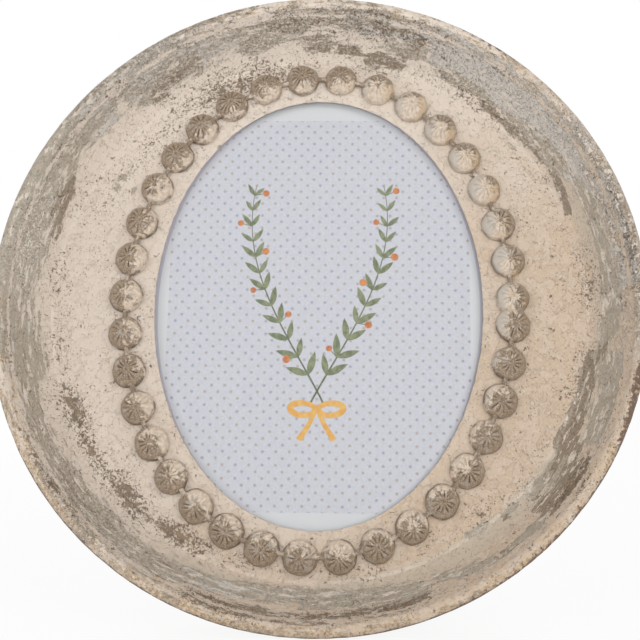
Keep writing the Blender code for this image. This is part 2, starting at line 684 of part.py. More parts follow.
def make_strut(swing, rivet_tool):
    """Tapered leg whose foot is cut level, with its lower corners rounded."""
    half_head = STRUT_HEAD_WIDTH / 2
    half_foot = STRUT_FOOT_WIDTH / 2
    builder = bmesh.new()
    for side in (-1.0, 1.0):
        for depth in (STRUT_FRONT, STRUT_REAR):
            builder.verts.new((side * half_head, depth, STRUT_TOP))
            builder.verts.new((side * half_foot, depth, strut_foot(depth)))
    bmesh.ops.convex_hull(builder, input=builder.verts)
    bmesh.ops.dissolve_limit(builder, angle_limit=math.radians(1.0), verts=builder.verts,
                             edges=builder.edges)
    corners = [edge for edge in builder.edges
               if all(vert.co.z < 0.5 * strut_foot(0.0) for vert in edge.verts)
               and abs(edge.verts[0].co.y - edge.verts[1].co.y) > 0.5 * STRUT_THICKNESS]
    bmesh.ops.bevel(builder, geom=corners, offset=STRUT_CORNER, segments=4, profile=0.5,
                    affect="EDGES")
    strut = new_piece("easel_strut", smooth(mesh_from(builder)), swing, BLACK_BOARD)
    combine(strut, rivet_tool, "DIFFERENCE")


# Hanging ring in its strap, high on the board
def ring_line():
    """Outline of the D-shaped ring: straight bar at the top, half round below."""
    middle = -(HANGER_LENGTH - HANGER_HALF_WIDTH)
    corner_steps = 2
    right = []
    for i in range(corner_steps + 1):
        turn = math.pi / 2 * i / corner_steps
        across = HANGER_HALF_WIDTH - HANGER_CORNER * (1.0 - math.sin(turn))
        right.append((across, 0.0, HANGER_CORNER * (math.cos(turn) - 1.0)))
    left = [(-x, y, z) for x, y, z in reversed(right)]
    bow_steps = 8
    bow = []
    for i in range(bow_steps + 1):
        turn = math.pi * i / bow_steps
        bow.append((HANGER_HALF_WIDTH * math.cos(turn), 0.0,
                    middle - HANGER_HALF_WIDTH * math.sin(turn)))
    return right + bow + left


def make_hanger(parent, swing):
    new_piece("hanger_ring", wire(ring_line(), HANGER_WIRE_RADIUS, True, 1), swing, PLATED_STEEL)
    half_width = STRAP_WIDTH / 2
    at_ring = Matrix.Translation((0.0, HANGER_DEPTH, HANGER_HEIGHT))
    plate = box((-half_width, half_width), (-STRAP_EYE_RADIUS, STRAP_SHEET - STRAP_EYE_RADIUS),
                (0.0, STRAP_HEIGHT))
    strap = new_piece("hanger_strap", plate, parent, PLATED_STEEL, at_ring)
    combine(strap, cross_rod(STRAP_EYE_RADIUS, -half_width, half_width), "UNION")
    combine(strap, cross_rod(RING_BORE, -STRAP_WIDTH, STRAP_WIDTH), "DIFFERENCE")
    rivet_height = (STRAP_EYE_RADIUS + STRAP_HEIGHT) / 2
    seat = facing_back(0.0, BOARD_REAR + CLEARANCE + STRAP_SHEET + CLEARANCE,
                       HANGER_HEIGHT + rivet_height)
    grip = 2.0 * CLEARANCE + STRAP_SHEET + RIVET_BITE
    new_piece("hanger_rivet", rivet_mesh(grip), parent, PLATED_STEEL, seat)
    tool = rivet_holes([seat], grip + CLEARANCE)
    strap_tool = tool.copy()
    strap_tool.transform(at_ring.inverted())
    combine(strap, strap_tool, "DIFFERENCE")
    return tool


clear_scene()
PARTS = new_collection("photo_frame")
TOOLS = new_collection("cutters")

WORN_PAINT = new_material("worn_paint", (0.66, 0.57, 0.46), 0.6, 0.1)
WORN_METAL = new_material("worn_metal", (0.42, 0.38, 0.32), 0.5, 0.3)
BARE_STEEL = new_material("bare_steel", (0.30, 0.30, 0.30), 0.5, 0.8)
PLATED_STEEL = new_material("plated_steel", (0.55, 0.50, 0.40), 0.35, 0.9)
CLEAR_GLASS = new_material("clear_glass", (0.95, 0.97, 0.97), 0.05, 0.0, 0.3)
PRINTED_PAPER = new_material("printed_paper", (0.70, 0.73, 0.78), 0.7)
GREY_CARD = new_material("grey_card", (0.40, 0.38, 0.35), 0.9)
BLACK_BOARD = new_material("black_board", (0.03, 0.03, 0.03), 0.8)

frame_axes = new_empty("frame_lean", None, (0.0, -(RIM_FRONT + STRUT_BACK) / 2, RIM_DROP), -LEAN)
strut_axes = new_empty("strut_swing", frame_axes, (0.0, HINGE_DEPTH, HINGE_HEIGHT), STRUT_ANGLE)
ring_axes = new_empty("ring_swing", frame_axes, (0.0, HANGER_DEPTH, HANGER_HEIGHT), LEAN)

make_front_shell(frame_axes)
make_rosette_strip(frame_axes)
make_window_pack(frame_axes)
make_turn_buttons(frame_axes)
board_holes, strut_holes = make_hinge(frame_axes, strut_axes)
make_strut(strut_axes, strut_holes)
hanger_hole = make_hanger(frame_axes, ring_axes)
board = PARTS.objects["back_board"]
for hole in (board_holes, hanger_hole):
    hole.transform(board.matrix_basis.inverted())
    combine(board, hole, "DIFFERENCE")
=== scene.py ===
"""Looks of the round metal photo frame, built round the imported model.

The picture faces -Y. Pieces made here are drawn in the frame's own axes, in millimetres
(x across, y into the depth from the rim's crest, z up the picture), and are then leaned
back and scaled to metres as a whole.
"""
import math
import random

import bmesh
import bpy
from mathutils import Matrix, Vector, noise


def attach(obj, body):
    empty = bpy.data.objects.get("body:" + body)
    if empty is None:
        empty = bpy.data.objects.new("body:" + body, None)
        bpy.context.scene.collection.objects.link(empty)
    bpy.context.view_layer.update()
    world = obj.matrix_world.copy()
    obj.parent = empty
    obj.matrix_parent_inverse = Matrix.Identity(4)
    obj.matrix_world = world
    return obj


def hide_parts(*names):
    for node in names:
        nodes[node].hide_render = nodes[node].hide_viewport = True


MM = 0.001
QUARTER = math.pi / 2
SHARP_ANGLE = math.radians(50.0)

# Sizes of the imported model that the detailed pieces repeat, in millimetres
LEAN = math.radians(13.5)
CREST_CENTRE = (0.0, -20.915, 118.335)
WINDOW_HALF_WIDTH = 62.5
WINDOW_HALF_HEIGHT = 84.0
CREASE_RADIUS = 102.6
RIM_RADIUS = 121.0
SHEET = 1.0
CREASE_DEPTH = 19.35
FIELD_RISE = 2.55
FIELD_CROWN = 1.8
BEAD_RADIUS = 2.6
COVE_FOOT_ANGLE = math.radians(25.0)
COVE_HEAD_ANGLE = math.radians(62.0)
SIDE_TAPER = math.radians(15.0)
EDGE_REAR = 22.75
EDGE_FOLD_WIDTH = 5.5
EDGE_FOLD_ROUND = 1.6
ROSETTE_RADIUS = 6.65
ROSETTE_HEIGHT = 4.6
ROSETTE_COUNT = 36
STRIP_OFFSET_SIDE = 11.3
STRIP_OFFSET_TOP = 9.7
STRIP_END_GAP = 10.6
SEAM_DROP = 1.6
STRIP_DRIFT = 2.6
CLEARANCE = 0.3
GLASS_HALF = (68.0, 89.5)
REBATE_HALF = (68.4, 89.9)
REBATE_WALL = 0.8
PLATE_RADIUS = 114.4
PLATE_DEPTHS = (20.65, 21.45)
BOARD_REAR = 26.184
BOARD_THICKNESS = 3.0
BUTTON_HUB_RADIUS = 4.6
BUTTON_NOSE_RADIUS = 3.2
BUTTON_REACH = 13.0
BUTTON_SHEET = 1.0
BUTTON_BORE = 1.8
STUD_RADIUS = 3.0
STUD_NECK_RADIUS = 1.5
STRUT_ANGLE = math.radians(25.5)
STRUT_HALF_HEAD = 19.0
STRUT_HALF_FOOT = 30.0
STRUT_CORNER = 5.0
HINGE_HEIGHT = 38.0
HINGE_SHEET = 0.8
HINGE_HALF_WIDTH = 16.0
HINGE_MIDDLE_HALF = 5.5
HINGE_CORNER = 3.0
LEAF_NOTCH = 2.8
LEAF_LENGTH = 18.0
LEAF_RIVET_SIDE = 10.0
KNUCKLE_RADIUS = 2.2
KNUCKLE_BORE = 1.25
HINGE_DEPTH = BOARD_REAR + CLEARANCE + KNUCKLE_RADIUS
RIVET_DEPTH = BOARD_REAR + HINGE_SHEET + 2.0 * CLEARANCE
STRAP_HALF_WIDTH = 4.0
STRAP_LENGTH = 14.0
STRAP_CORNER = 2.5
STRAP_EYE_RADIUS = 2.1
STRAP_EYE_BORE = 1.3
RING_HALF_WIDTH = 6.5
RING_CORNER = 1.8
RING_DROP = 14.0
HANGER_HEIGHT = 72.0
HANGER_DEPTH = BOARD_REAR + CLEARANCE + STRAP_EYE_RADIUS

LIP_DEPTH = CREASE_DEPTH - FIELD_RISE

# The print: its front face, its half size inside the margin, the oval that shows, and the pitch of its dots
PRINT_FRONT = 20.684
PRINT_HALF = (58.0, 77.3)
PRINT_OVAL = (61.8, 85.0)
DOT_PITCH = 5.0

LEANED = (Matrix.Diagonal((MM, MM, MM, 1.0)) @ Matrix.Translation(CREST_CENTRE)
          @ Matrix.Rotation(-LEAN, 4, "X"))


def srgb(red, green, blue):
    """Linear colour from the usual 0 to 255 values."""
    def linear(value):
        value /= 255.0
        return value / 12.92 if value <= 0.04045 else ((value + 0.055) / 1.055) ** 2.4
    return (linear(red), linear(green), linear(blue), 1.0)


# Short ways to wire up nodes
class Graph:
    """A node tree with helpers that return output sockets."""

    def __init__(self, tree):
        self.tree = tree

    def set(self, socket, value):
        if isinstance(value, bpy.types.NodeSocket):
            self.tree.links.new(value, socket)
        else:
            socket.default_value = value

    def add(self, kind, inputs=(), **settings):
        made = self.tree.nodes.new(kind)
        for key, value in settings.items():
            setattr(made, key, value)
        for key, value in dict(inputs).items():
            self.set(made.inputs[key], value)
        return made

    def math(self, operation, a, b=0.0, clamp=False):
        return self.add("ShaderNodeMath", {0: a, 1: b}, operation=operation, use_clamp=clamp).outputs[0]

    def times(self, a, b):
        return self.math("MULTIPLY", a, b)

    def plus(self, a, b):
        return self.math("ADD", a, b)

    def total(self, *rows):
        """Sum of values, each times its share."""
        added = None
        for value, share in rows:
            part = self.times(value, share)
            added = part if added is None else self.plus(added, part)
        return added

    def length(self, a, b):
        return self.math("SQRT", self.plus(self.times(a, a), self.times(b, b)))

    def rays(self, first, *others):
        """1 on light paths of any of these kinds, else 0."""
        path = self.add("ShaderNodeLightPath").outputs
        seen = path["Is %s Ray" % first]
        for kind in others:
            seen = self.math("ADD", seen, path["Is %s Ray" % kind], clamp=True)
        return seen

    def span(self, value, low, high, to_low=0.0, to_high=1.0):
        """Smooth step of a value from low to high."""
        made = self.add("ShaderNodeMapRange", {"Value": value, "From Min": low, "From Max": high,
                                               "To Min": to_low, "To Max": to_high},
                        interpolation_type="SMOOTHSTEP")
        return made.outputs[0]

    def line(self, value, level, far, near):
        """1 where a value is nearer than near to a level, 0 where it is farther than far."""
        return self.span(self.math("ABSOLUTE", self.plus(value, -level)), far, near)

    def stirred(self, field, pattern, amount):
        """A field made uneven by a noise about its mean of one half."""
        return self.plus(field, self.times(self.plus(pattern, -0.5), amount))


class Surface(Graph):
    """One material with a Principled shader; its mixes take colours as 0 to 255 values."""

    def __init__(self, name, roughness=0.5, metallic=0.0):
        self.material = bpy.data.materials.new(name)
        self.material.use_nodes = True
        super().__init__(self.material.node_tree)
        self.shader = self.tree.nodes["Principled BSDF"]
        self.shader.inputs["Roughness"].default_value = roughness
        self.shader.inputs["Metallic"].default_value = metallic

    def attribute(self, name, output="Fac"):
        return self.add("ShaderNodeAttribute", attribute_name=name).outputs[output]

    def axis(self, vector, name):
        return self.add("ShaderNodeSeparateXYZ", {"Vector": vector}).outputs[name]

    def noise(self, vector, scale=1.0, detail=4.0, roughness=0.55, distortion=0.0, output="Fac"):
        made = self.add("ShaderNodeTexNoise", {"Vector": vector, "Scale": scale, "Detail": detail,
                                               "Roughness": roughness, "Distortion": distortion})
        return made.outputs[output]

    def bent(self, vector, amount, scale):
        """The vector, pushed about by a noise of its own."""
        wobble = self.noise(vector, scale, 2.0, output="Color")
        centred = self.add("ShaderNodeVectorMath", {0: wobble, 1: (0.5, 0.5, 0.5)}, operation="SUBTRACT")
        made = self.add("ShaderNodeVectorMath", {0: centred.outputs[0], 1: (amount,) * 3, 2: vector},
                        operation="MULTIPLY_ADD")
        return made.outputs[0]

    def streaks(self, vector, scales, detail, roughness, bend=None, shift=(0.0, 0.0, 0.0)):
        """Noise with a scale for each axis, of a vector bent by (amount, scale) first."""
        if bend:
            vector = self.bent(vector, *bend)
        drawn = self.add("ShaderNodeMapping", {"Vector": vector, "Scale": scales, "Location": shift})
        return self.noise(drawn.outputs[0], 1.0, detail, roughness)

    def cells(self, vector, scale, feature="F1", output="Distance"):
        made = self.add("ShaderNodeTexVoronoi", {"Vector": vector, "Scale": scale}, feature=feature)
        return made.outputs[output]

    def lot(self, vector, scale):
        """A random number for each cell."""
        colour = self.cells(vector, scale, output="Color")
        return self.add("ShaderNodeSeparateColor", {"Color": colour}).outputs[0]

    def mix(self, share, a, b):
        made = self.add("ShaderNodeMix", data_type="RGBA", blend_type="MIX", clamp_factor=True)
        self.set(made.inputs[0], share)
        for index, colour in ((6, a), (7, b)):
            self.set(made.inputs[index], srgb(*colour) if isinstance(colour, tuple) else colour)
        return made.outputs[2]

    def tinted(self, colour, *rows):
        """Colour with others laid over it: where a value goes from low to high, up to a share."""
        for value, low, high, share, tint in rows:
            colour = self.mix(self.span(value, low, high, 0.0, share), colour, tint)
        return colour

    def own_place(self, turn=0.0, shift=(0.0, 0.0, 0.0)):
        """Place in the object's own axes, in millimetres, turned about x and shifted."""
        where = self.add("ShaderNodeTexCoord").outputs["Object"]
        made = self.add("ShaderNodeMapping", {"Vector": where, "Rotation": (turn, 0.0, 0.0),
                                              "Scale": (1.0 / MM,) * 3, "Location": shift})
        return made.outputs[0]

    def frame_place(self):
        """Place in the leaning frame's axes, in millimetres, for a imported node."""
        return self.own_place(LEAN, -(Matrix.Rotation(LEAN, 3, "X") @ Vector(CREST_CENTRE)))

    def colour(self, value):
        self.set(self.shader.inputs["Base Color"], value)

    def roughness(self, value):
        self.set(self.shader.inputs["Roughness"], value)

    def relief(self, height, distance, strength=1.0):
        """Bump whose height of 1 stands the given number of millimetres high."""
        made = self.add("ShaderNodeBump", {"Height": height, "Distance": distance * MM,
                                           "Strength": strength})
        self.tree.links.new(made.outputs[0], self.shader.inputs["Normal"])

    def blend(self, share, first, second):
        """Show a mix of two shaders."""
        both = self.add("ShaderNodeMixShader", {0: share, 1: first.outputs[0], 2: second.outputs[0]})
        self.tree.links.new(both.outputs[0], self.tree.nodes["Material Output"].inputs["Surface"])


# Where the shell's paint has worn, kept on its mesh as attributes
WEAR = ("grey", "tone", "wash", "speck", "edge", "rust", "salt", "crackle", "rain")


def worn_paint():
    """Cream paint with a flaking grey patina, a rubbed golden edge and dark specks."""
    s = Surface("worn_paint_detail", roughness=0.6)
    place, flow = s.attribute("place", "Vector"), s.attribute("flow", "Vector")
    worn = {name: s.attribute(name) for name in WEAR}

    # Cream ground, warmer towards the right and in soft clouds, with a fine grain
    upward = s.axis(place, "Z")
    slant = s.plus(s.axis(place, "X"), s.times(upward, -0.55))
    warmth = s.stirred(s.span(slant, -70.0, 120.0), s.noise(place, 0.035, 3.0), 1.6)
    grain = s.noise(place, 0.9, 5.0, 0.7)
    ground = s.tinted((214, 199, 184), (warmth, 0.0, 1.0, 1.0, (202, 180, 157)),
                      (grain, 0.42, 0.75, 0.5, (226, 214, 200)), (grain, 0.44, 0.25, 0.4, (197, 177, 155)))

    # A second coat lies over it in sheets with a low edge, which show here and there as a fine line
    crust_noise = s.noise(s.bent(place, 2.5, 0.25), 0.17, 6.0, 0.64)
    crust = s.span(crust_noise, 0.495, 0.512)
    ground = s.mix(s.times(crust, 0.16), ground, (226, 214, 200))
    # Painted light: the ground turns paler towards the top, as where light falls from above
    ground = s.tinted(ground, (upward, 15.0, 115.0, 0.6, (233, 220, 206)))
    worms = s.times(s.line(crust_noise, 0.5, 0.014, 0.004),
                    s.span(s.noise(place, 0.45, 4.0, 0.75), 0.53, 0.60))

    # A smooth warm grey wash along the foot of the wall
    wash_level = s.stirred(worn["wash"], s.noise(flow, 0.11, 4.0, 0.6), 0.9)
    wash_tone = s.mix(s.streaks(flow, (0.05, 0.05, 0.9), 4.0, 0.6), (205, 193, 177), (193, 178, 159))
    ground = s.tinted(ground, (wash_level, 0.30, 0.72, 0.75, wash_tone))

    # Flaking grey patina, drawn out along the rim, with solid patches and salted ones
    level = s.stirred(worn["grey"], s.streaks(flow, (0.08, 0.08, 0.34), 5.0, 0.66, bend=(4.0, 0.15)), 2.1)
    level = s.stirred(level, s.streaks(flow, (0.20, 0.20, 0.46), 5.0, 0.66, bend=(1.5, 0.5)), 1.5)
    level = s.stirred(level, s.noise(place, 1.25, 4.0, 0.8), s.times(worn["salt"], 2.6))
    grey = s.span(level, 0.50, 0.54)
    flake = s.math("SUBTRACT", s.span(level, 0.36, 0.48), grey, clamp=True)

    # The grey steps from brown over olive to silver, with pale flakes, and dust where it is salted
    sheets = s.streaks(flow, (0.07, 0.07, 0.30), 5.0, 0.60, bend=(2.5, 0.3), shift=(7.0, 3.0, 1.0))
    shade = s.stirred(worn["tone"], sheets, 2.1)
    tone = s.tinted((146, 130, 112), (shade, -0.42, -0.32, 1.0, (175, 164, 148)),
                    (shade, 0.26, 0.40, 1.0, (204, 198, 190)))
    dust = s.noise(place, 1.0, 5.0, 0.85)
    powder = s.plus(s.times(worn["salt"], 0.8), 0.12)
    tone = s.mix(s.times(s.span(dust, 0.53, 0.57), powder), tone, (118, 103, 88))
    tone = s.mix(s.times(s.span(dust, 0.46, 0.42), powder), tone, (222, 213, 203))
    islands = s.streaks(flow, (0.13, 0.13, 0.36), 5.0, 0.68, bend=(2.0, 0.4), shift=(2.0, 9.0, 4.0))
    tone = s.tinted(tone, (islands, 0.56, 0.58, 0.9, (222, 210, 196)))

    # Outer edge, rubbed to a golden brown with dark chips
    stretches = s.streaks(flow, (0.07, 0.07, 0.30), 4.0, 0.6, shift=(5.0, 1.0, 2.0))
    crumbs = s.noise(place, 0.85, 5.0, 0.85)
    edge = s.tinted((176, 160, 138), (stretches, 0.42, 0.50, 1.0, (208, 182, 148)),
                    (stretches, 0.54, 0.62, 1.0, (222, 200, 178)), (crumbs, 0.46, 0.60, 1.0, (136, 110, 85)),
                    (crumbs, 0.42, 0.36, 1.0, (234, 221, 202)))
    ragged = s.streaks(flow, (0.12, 0.12, 0.45), 6.0, 0.72, shift=(1.0, 6.0, 3.0))
    rubbed = s.span(s.stirred(worn["edge"], ragged, 2.8), 0.46, 0.62)
    rust = s.span(s.stirred(worn["rust"], s.noise(place, 0.42, 5.0, 0.75), 2.2), 0.58, 0.66)

    # Crease between field and wall: a painted pale highlight along it, with fine dark cracks beside it
    fall = s.axis(flow, "Z")
    at_crease = CREASE_RADIUS - CREASE_DEPTH
    crease_highlight = s.times(s.line(fall, at_crease, 1.1, 0.2), s.span(s.noise(place, 0.08, 4.0, 0.65), 0.40, 0.62))
    bent_fall = s.stirred(fall, s.noise(place, 0.12, 4.0, 0.7), 5.0)
    cracks = s.span(s.math("PINGPONG", bent_fall, 1.7), 0.16, 0.04)
    cracks = s.times(cracks, s.line(fall, at_crease - 2.5, 5.5, 3.0))
    cracks = s.times(cracks, s.span(s.plus(worn["speck"], s.noise(place, 0.2, 4.0, 0.7)), 0.85, 1.15))

    # Dark specks of three sizes, closer together where the field asks for them
    density = s.times(s.stirred(worn["speck"], s.noise(place, 0.11, 4.0, 0.65), 1.1), 0.20)
    pits = None
    for scale, detail, low in ((1.35, 2.0, 0.690), (0.58, 4.0, 0.680), (0.30, 6.0, 0.705)):
        blots = s.plus(s.noise(s.bent(place, 0.8, 0.7), scale, detail, 0.7), density)
        one = s.span(blots, low, low + 0.035)
        pits = one if pits is None else s.math("MAXIMUM", pits, one)
    pit_tone = s.tinted((106, 90, 75), (s.noise(place, 0.4, 2.0), 0.4, 0.6, 1.0, (134, 112, 88)))

    # Old paint that has crazed at the outer part of the wall, and whitish flecks like dried rain
    crazing = s.noise(s.bent(place, 1.5, 0.6), 0.42, 5.0, 0.72)
    crazed = s.times(s.line(crazing, 0.5, 0.034, 0.012), worn["crackle"])
    bleached = s.times(s.span(crazing, 0.535, 0.56), worn["crackle"])
    ash = s.times(s.span(crazing, 0.48, 0.45), worn["crackle"])
    rain = s.times(s.span(s.noise(s.bent(place, 1.0, 0.8), 1.3, 3.0, 0.75), 0.53, 0.57), worn["rain"])

    colour = s.mix(grey, ground, tone)
    for mask, share, coat in (
            (rain, 0.85, (233, 229, 223)), (flake, 0.7, (230, 218, 203)), (crease_highlight, 0.4, (233, 222, 208)),
            (worms, 0.5, (146, 124, 100)), (cracks, 0.75, (112, 96, 80)), (rubbed, 0.8, edge),
            (ash, 0.85, (188, 179, 168)), (bleached, 0.85, (228, 220, 210)), (crazed, 0.75, (120, 104, 88)),
            (rust, 0.85, (96, 72, 58)), (pits, 0.88, pit_tone)):
        colour = s.mix(s.times(mask, share), colour, coat)
    s.colour(colour)
    s.roughness(s.span(grey, 0.0, 1.0, 0.62, 0.45))
    s.relief(s.total((grey, -0.6), (s.noise(place, 1.6, 5.0, 0.65), 0.9),
                     (s.plus(crust, s.times(flake, 0.6)), 0.7), (pits, -0.8),
                     (s.plus(rust, s.plus(cracks, crazed)), -0.6), (s.noise(place, 0.18, 3.0), 2.0),
                     (s.noise(s.bent(place, 3.0, 0.2), 0.42, 3.0, 0.6), 1.2)), 0.17, 0.95)
    return s.material


def worn_metal():
    """Cream and silver rubbed on grey-brown metal, dark in its hollows, with painted shade and a painted
    sheen laid over it.
    """
    s = Surface("worn_metal_detail", roughness=0.45)
    place = s.attribute("place", "Vector")
    blotch = s.noise(place, 0.34, 6.0, 0.72, 0.6)
    # Bare grey-brown metal on each rosette's outer side, partly real wear and partly painted shade
    bare_and_shade = s.span(s.stirred(s.attribute("bare_and_shade_side"), blotch, 2.8), 0.44, 0.54)
    fine = s.noise(place, 2.2, 4.0, 0.8)
    metal = s.tinted((188, 168, 145), (fine, 0.38, 0.62, 1.0, (122, 104, 86)),
                     (fine, 0.40, 0.30, 0.7, (198, 184, 166)))
    # Painted light on the rosettes at the upper right: a silvery painted sheen on their left side and
    # golden-brown painted shade on their right side
    sheen_and_shade = s.stirred(s.attribute("sheen_and_shade"), s.noise(place, 0.5, 4.0, 0.7), 1.1)
    paint = s.tinted((229, 214, 197), (s.noise(place, 0.8, 4.0, 0.6), 0.35, 0.65, 1.0, (208, 187, 164)),
                     (fine, 0.57, 0.66, 0.7, (150, 129, 107)), (sheen_and_shade, 0.20, 0.40, 0.8, (208, 181, 147)),
                     (sheen_and_shade, -0.18, -0.38, 0.8, (199, 190, 179)))
    silver = s.noise(place, 0.3, 3.0, 0.6)
    colour = s.tinted(s.mix(bare_and_shade, paint, metal), (silver, 0.56, 0.64, 0.4, (194, 188, 181)))
    # Dark patina in the flutes and the central pit, deepened as painted shade in these recesses
    hollows = s.times(s.attribute("hollow"), s.span(fine, 0.25, 0.6, 0.95, 0.55))
    colour = s.mix(hollows, colour, (82, 68, 55))
    # Painted shadow: a dark ring round each rosette's foot and under each neck, broken up by noise
    foot = s.times(s.attribute("foot"), s.span(s.noise(place, 0.16, 4.0, 0.7), 0.44, 0.56, 0.05, 0.85))
    s.colour(s.mix(foot, colour, (92, 77, 63)))
    s.roughness(s.span(bare_and_shade, 0.0, 1.0, 0.52, 0.38))
    s.relief(s.total((fine, 1.0), (bare_and_shade, -0.5), (blotch, 1.6)), 0.16, 1.0)
    return s.material


def printed_card():
    """Pale ground with small dots in staggered rows, inside a plain margin."""
    s = Surface("printed_card_detail", roughness=0.75)
    place = s.frame_place()
    across, up = s.axis(place, "X"), s.axis(place, "Z")

    def lattice(shift):
        """Distance to the nearest point of a square lattice, in millimetres."""
        return s.length(*(s.math("PINGPONG", s.plus(value, shift), DOT_PITCH / 2) for value in (across, up)))

    dots = s.span(s.math("MINIMUM", lattice(0.0), lattice(DOT_PITCH / 2)), 0.82, 0.30)
    inside = s.times(*(s.math("LESS_THAN", s.math("ABSOLUTE", value), half)
                       for value, half in zip((across, up), PRINT_HALF)))
    ink = s.tinted((156, 157, 170), (s.lot(place, 0.2), 0.45, 0.55, 1.0, (174, 163, 154)))
    tooth = s.noise(place, 3.5, 3.0, 0.7)
    paper = s.tinted((192, 192, 201), (tooth, 0.38, 0.62, 1.0, (210, 210, 218)))
    margin = s.tinted((208, 209, 212), (tooth, 0.35, 0.65, 1.0, (211, 212, 215)))
    paper = s.mix(inside, margin, paper)
    # Painted light at the opening's edge: paler towards it, to lift the shade the lip casts on the card, and
    # a violet-grey painted shadow line right at it
    reach = s.length(*(s.times(value, 1.0 / half) for value, half in zip((across, up), PRINT_OVAL)))
    paper = s.tinted(paper, (reach, 0.90, 1.0, 0.35, (230, 230, 236)))
    colour = s.mix(s.times(s.times(dots, inside), 0.85), paper, ink)
    s.colour(s.tinted(colour, (reach, 0.998, 1.003, 0.9, (190, 187, 201))))
    s.relief(tooth, 0.02, 0.4)
    return s.material


def watercolour(name, light, dark):
    """Ink that dries unevenly."""
    s = Surface(name, roughness=0.75)
    place = s.attribute("place", "Vector")
    wash = s.noise(place, 0.5, 4.0, 0.6)
    grain = s.noise(place, 3.0, 3.0, 0.7)
    s.colour(s.tinted(light, (wash, 0.35, 0.65, 1.0, dark), (grain, 0.5, 0.7, 0.35, (205, 208, 206))))
    s.relief(grain, 0.02, 0.4)
    return s.material


def clear_glass():
    """Glass that lets the light straight through to the card behind it."""
    s = Surface("clear_glass_detail", roughness=0.03)
    s.shader.inputs["Base Color"].default_value = (0.97, 0.985, 0.98, 1.0)
    s.shader.inputs["Transmission Weight"].default_value = 1.0
    s.shader.inputs["IOR"].default_value = 1.45
    smear = s.noise(s.frame_place(), 0.03, 3.0)
    s.roughness(s.span(smear, 0.35, 0.65, 0.015, 0.05))
    s.blend(s.rays("Shadow", "Diffuse"), s.shader, s.add("ShaderNodeBsdfTransparent"))
    return s.material


def rolled_steel():
    """Thin sheet as it comes from the rolls: streaks, dull spots and a little rust."""
    s = Surface("rolled_steel_detail", roughness=0.45, metallic=0.7)
    place = s.frame_place()
    streaks = s.streaks(place, (0.05, 0.5, 1.3), 5.0, 0.65)
    spots = s.noise(place, 0.35, 5.0, 0.7)
    s.colour(s.tinted((132, 130, 126), (streaks, 0.3, 0.7, 1.0, (168, 166, 161)),
                      (spots, 0.60, 0.72, 0.75, (128, 96, 68))))
    s.roughness(s.span(spots, 0.4, 0.7, 0.36, 0.7))
    s.relief(s.total((streaks, 0.6), (spots, 0.5)), 0.05, 0.6)
    return s.material


def plated_steel():
    """Satin zinc plating with a faint yellow cast and rubbed edges."""
    s = Surface("plated_steel_detail", roughness=0.3, metallic=0.9)
    place = s.own_place()
    spangle = s.lot(s.bent(place, 0.8, 0.5), 0.7)
    colour = s.mix(spangle, (186, 178, 150), (206, 200, 178))
    scratch = s.streaks(place, (3.0, 0.4, 0.4), 4.0, 0.7)
    s.colour(s.tinted(colour, (scratch, 0.58, 0.68, 0.5, (138, 128, 104))))
    s.roughness(s.span(scratch, 0.35, 0.65, 0.24, 0.42))
    s.relief(scratch, 0.03, 0.5)
    return s.material


def grey_card():
    """Recycled grey card with short fibres."""
    s = Surface("grey_card_detail", roughness=0.9)
    fibres = s.streaks(s.frame_place(), (0.5, 1.0, 3.0), 5.0, 0.7, bend=(3.0, 0.3))
    s.colour(s.tinted((158, 151, 142), (fibres, 0.35, 0.65, 1.0, (181, 174, 164))))
    s.relief(fibres, 0.05, 0.5)
    return s.material


def black_board():
    """Fibreboard faced with black leather-grained paper."""
    s = Surface("black_board_detail", roughness=0.6)
    place = s.own_place()
    ridges = s.span(s.cells(s.bent(place, 0.6, 0.8), 1.5, feature="DISTANCE_TO_EDGE"), 0.0, 0.18)
    scuffs = s.streaks(place, (0.15, 0.4, 0.3), 5.0, 0.7)
    colour = s.mix(ridges, (26, 26, 27), (44, 44, 45))
    s.colour(s.tinted(colour, (scuffs, 0.60, 0.72, 0.5, (92, 90, 87))))
    s.roughness(s.span(scuffs, 0.4, 0.7, 0.5, 0.75))
    s.relief(ridges, 0.09, 0.8)
    return s.material


# Objects and meshes
def linked(name, data):
    """New object in the scene."""
    made = bpy.data.objects.new(name, data)
    bpy.context.scene.collection.objects.link(made)
    return made


def poured(name, builder, material):
    """Mesh of a builder, which is then freed."""
    mesh = bpy.data.meshes.new(name)
    builder.to_mesh(mesh)
    builder.free()
    mesh.materials.append(material)
    return mesh


def finished(name, builder, material, body, stands_for=(), smooth=True, axes=Matrix()):
    """Make an object of a mesh drawn in axes of the frame, with its places kept as an attribute."""
    mesh = poured(name, builder, material)
    keep(mesh, "place", "FLOAT_VECTOR", [part for vert in mesh.vertices for part in vert.co])
    mesh.transform(LEANED @ axes)
    mesh.polygons.foreach_set("use_smooth", [smooth] * len(mesh.polygons))
    mesh.set_sharp_from_angle(angle=SHARP_ANGLE)
    piece = linked(name, mesh)
    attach(piece, body)
    if stands_for:
        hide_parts(*stands_for)
    return piece


def keep(mesh, name, kind, numbers):
    """Keep numbers on a mesh's points, of the kind FLOAT or FLOAT_VECTOR."""
    attribute = mesh.attributes.new(name, kind, "POINT")
    attribute.data.foreach_set("value" if kind == "FLOAT" else "vector", numbers)


def full_turn(count):
    """Evenly spaced angles of a whole turn."""
    return [2.0 * math.pi * i / count for i in range(count)]


def shares(steps):
    """Evenly spaced shares from 0 to 1."""
    return [i / steps for i in range(steps + 1)]


def arc(x, z, radius, start, sweep=QUARTER, steps=6):
    """Outline points of an arc round a centre."""
    return [(x + radius * math.cos(start + sweep * t), z + radius * math.sin(start + sweep * t))
            for t in shares(steps)]


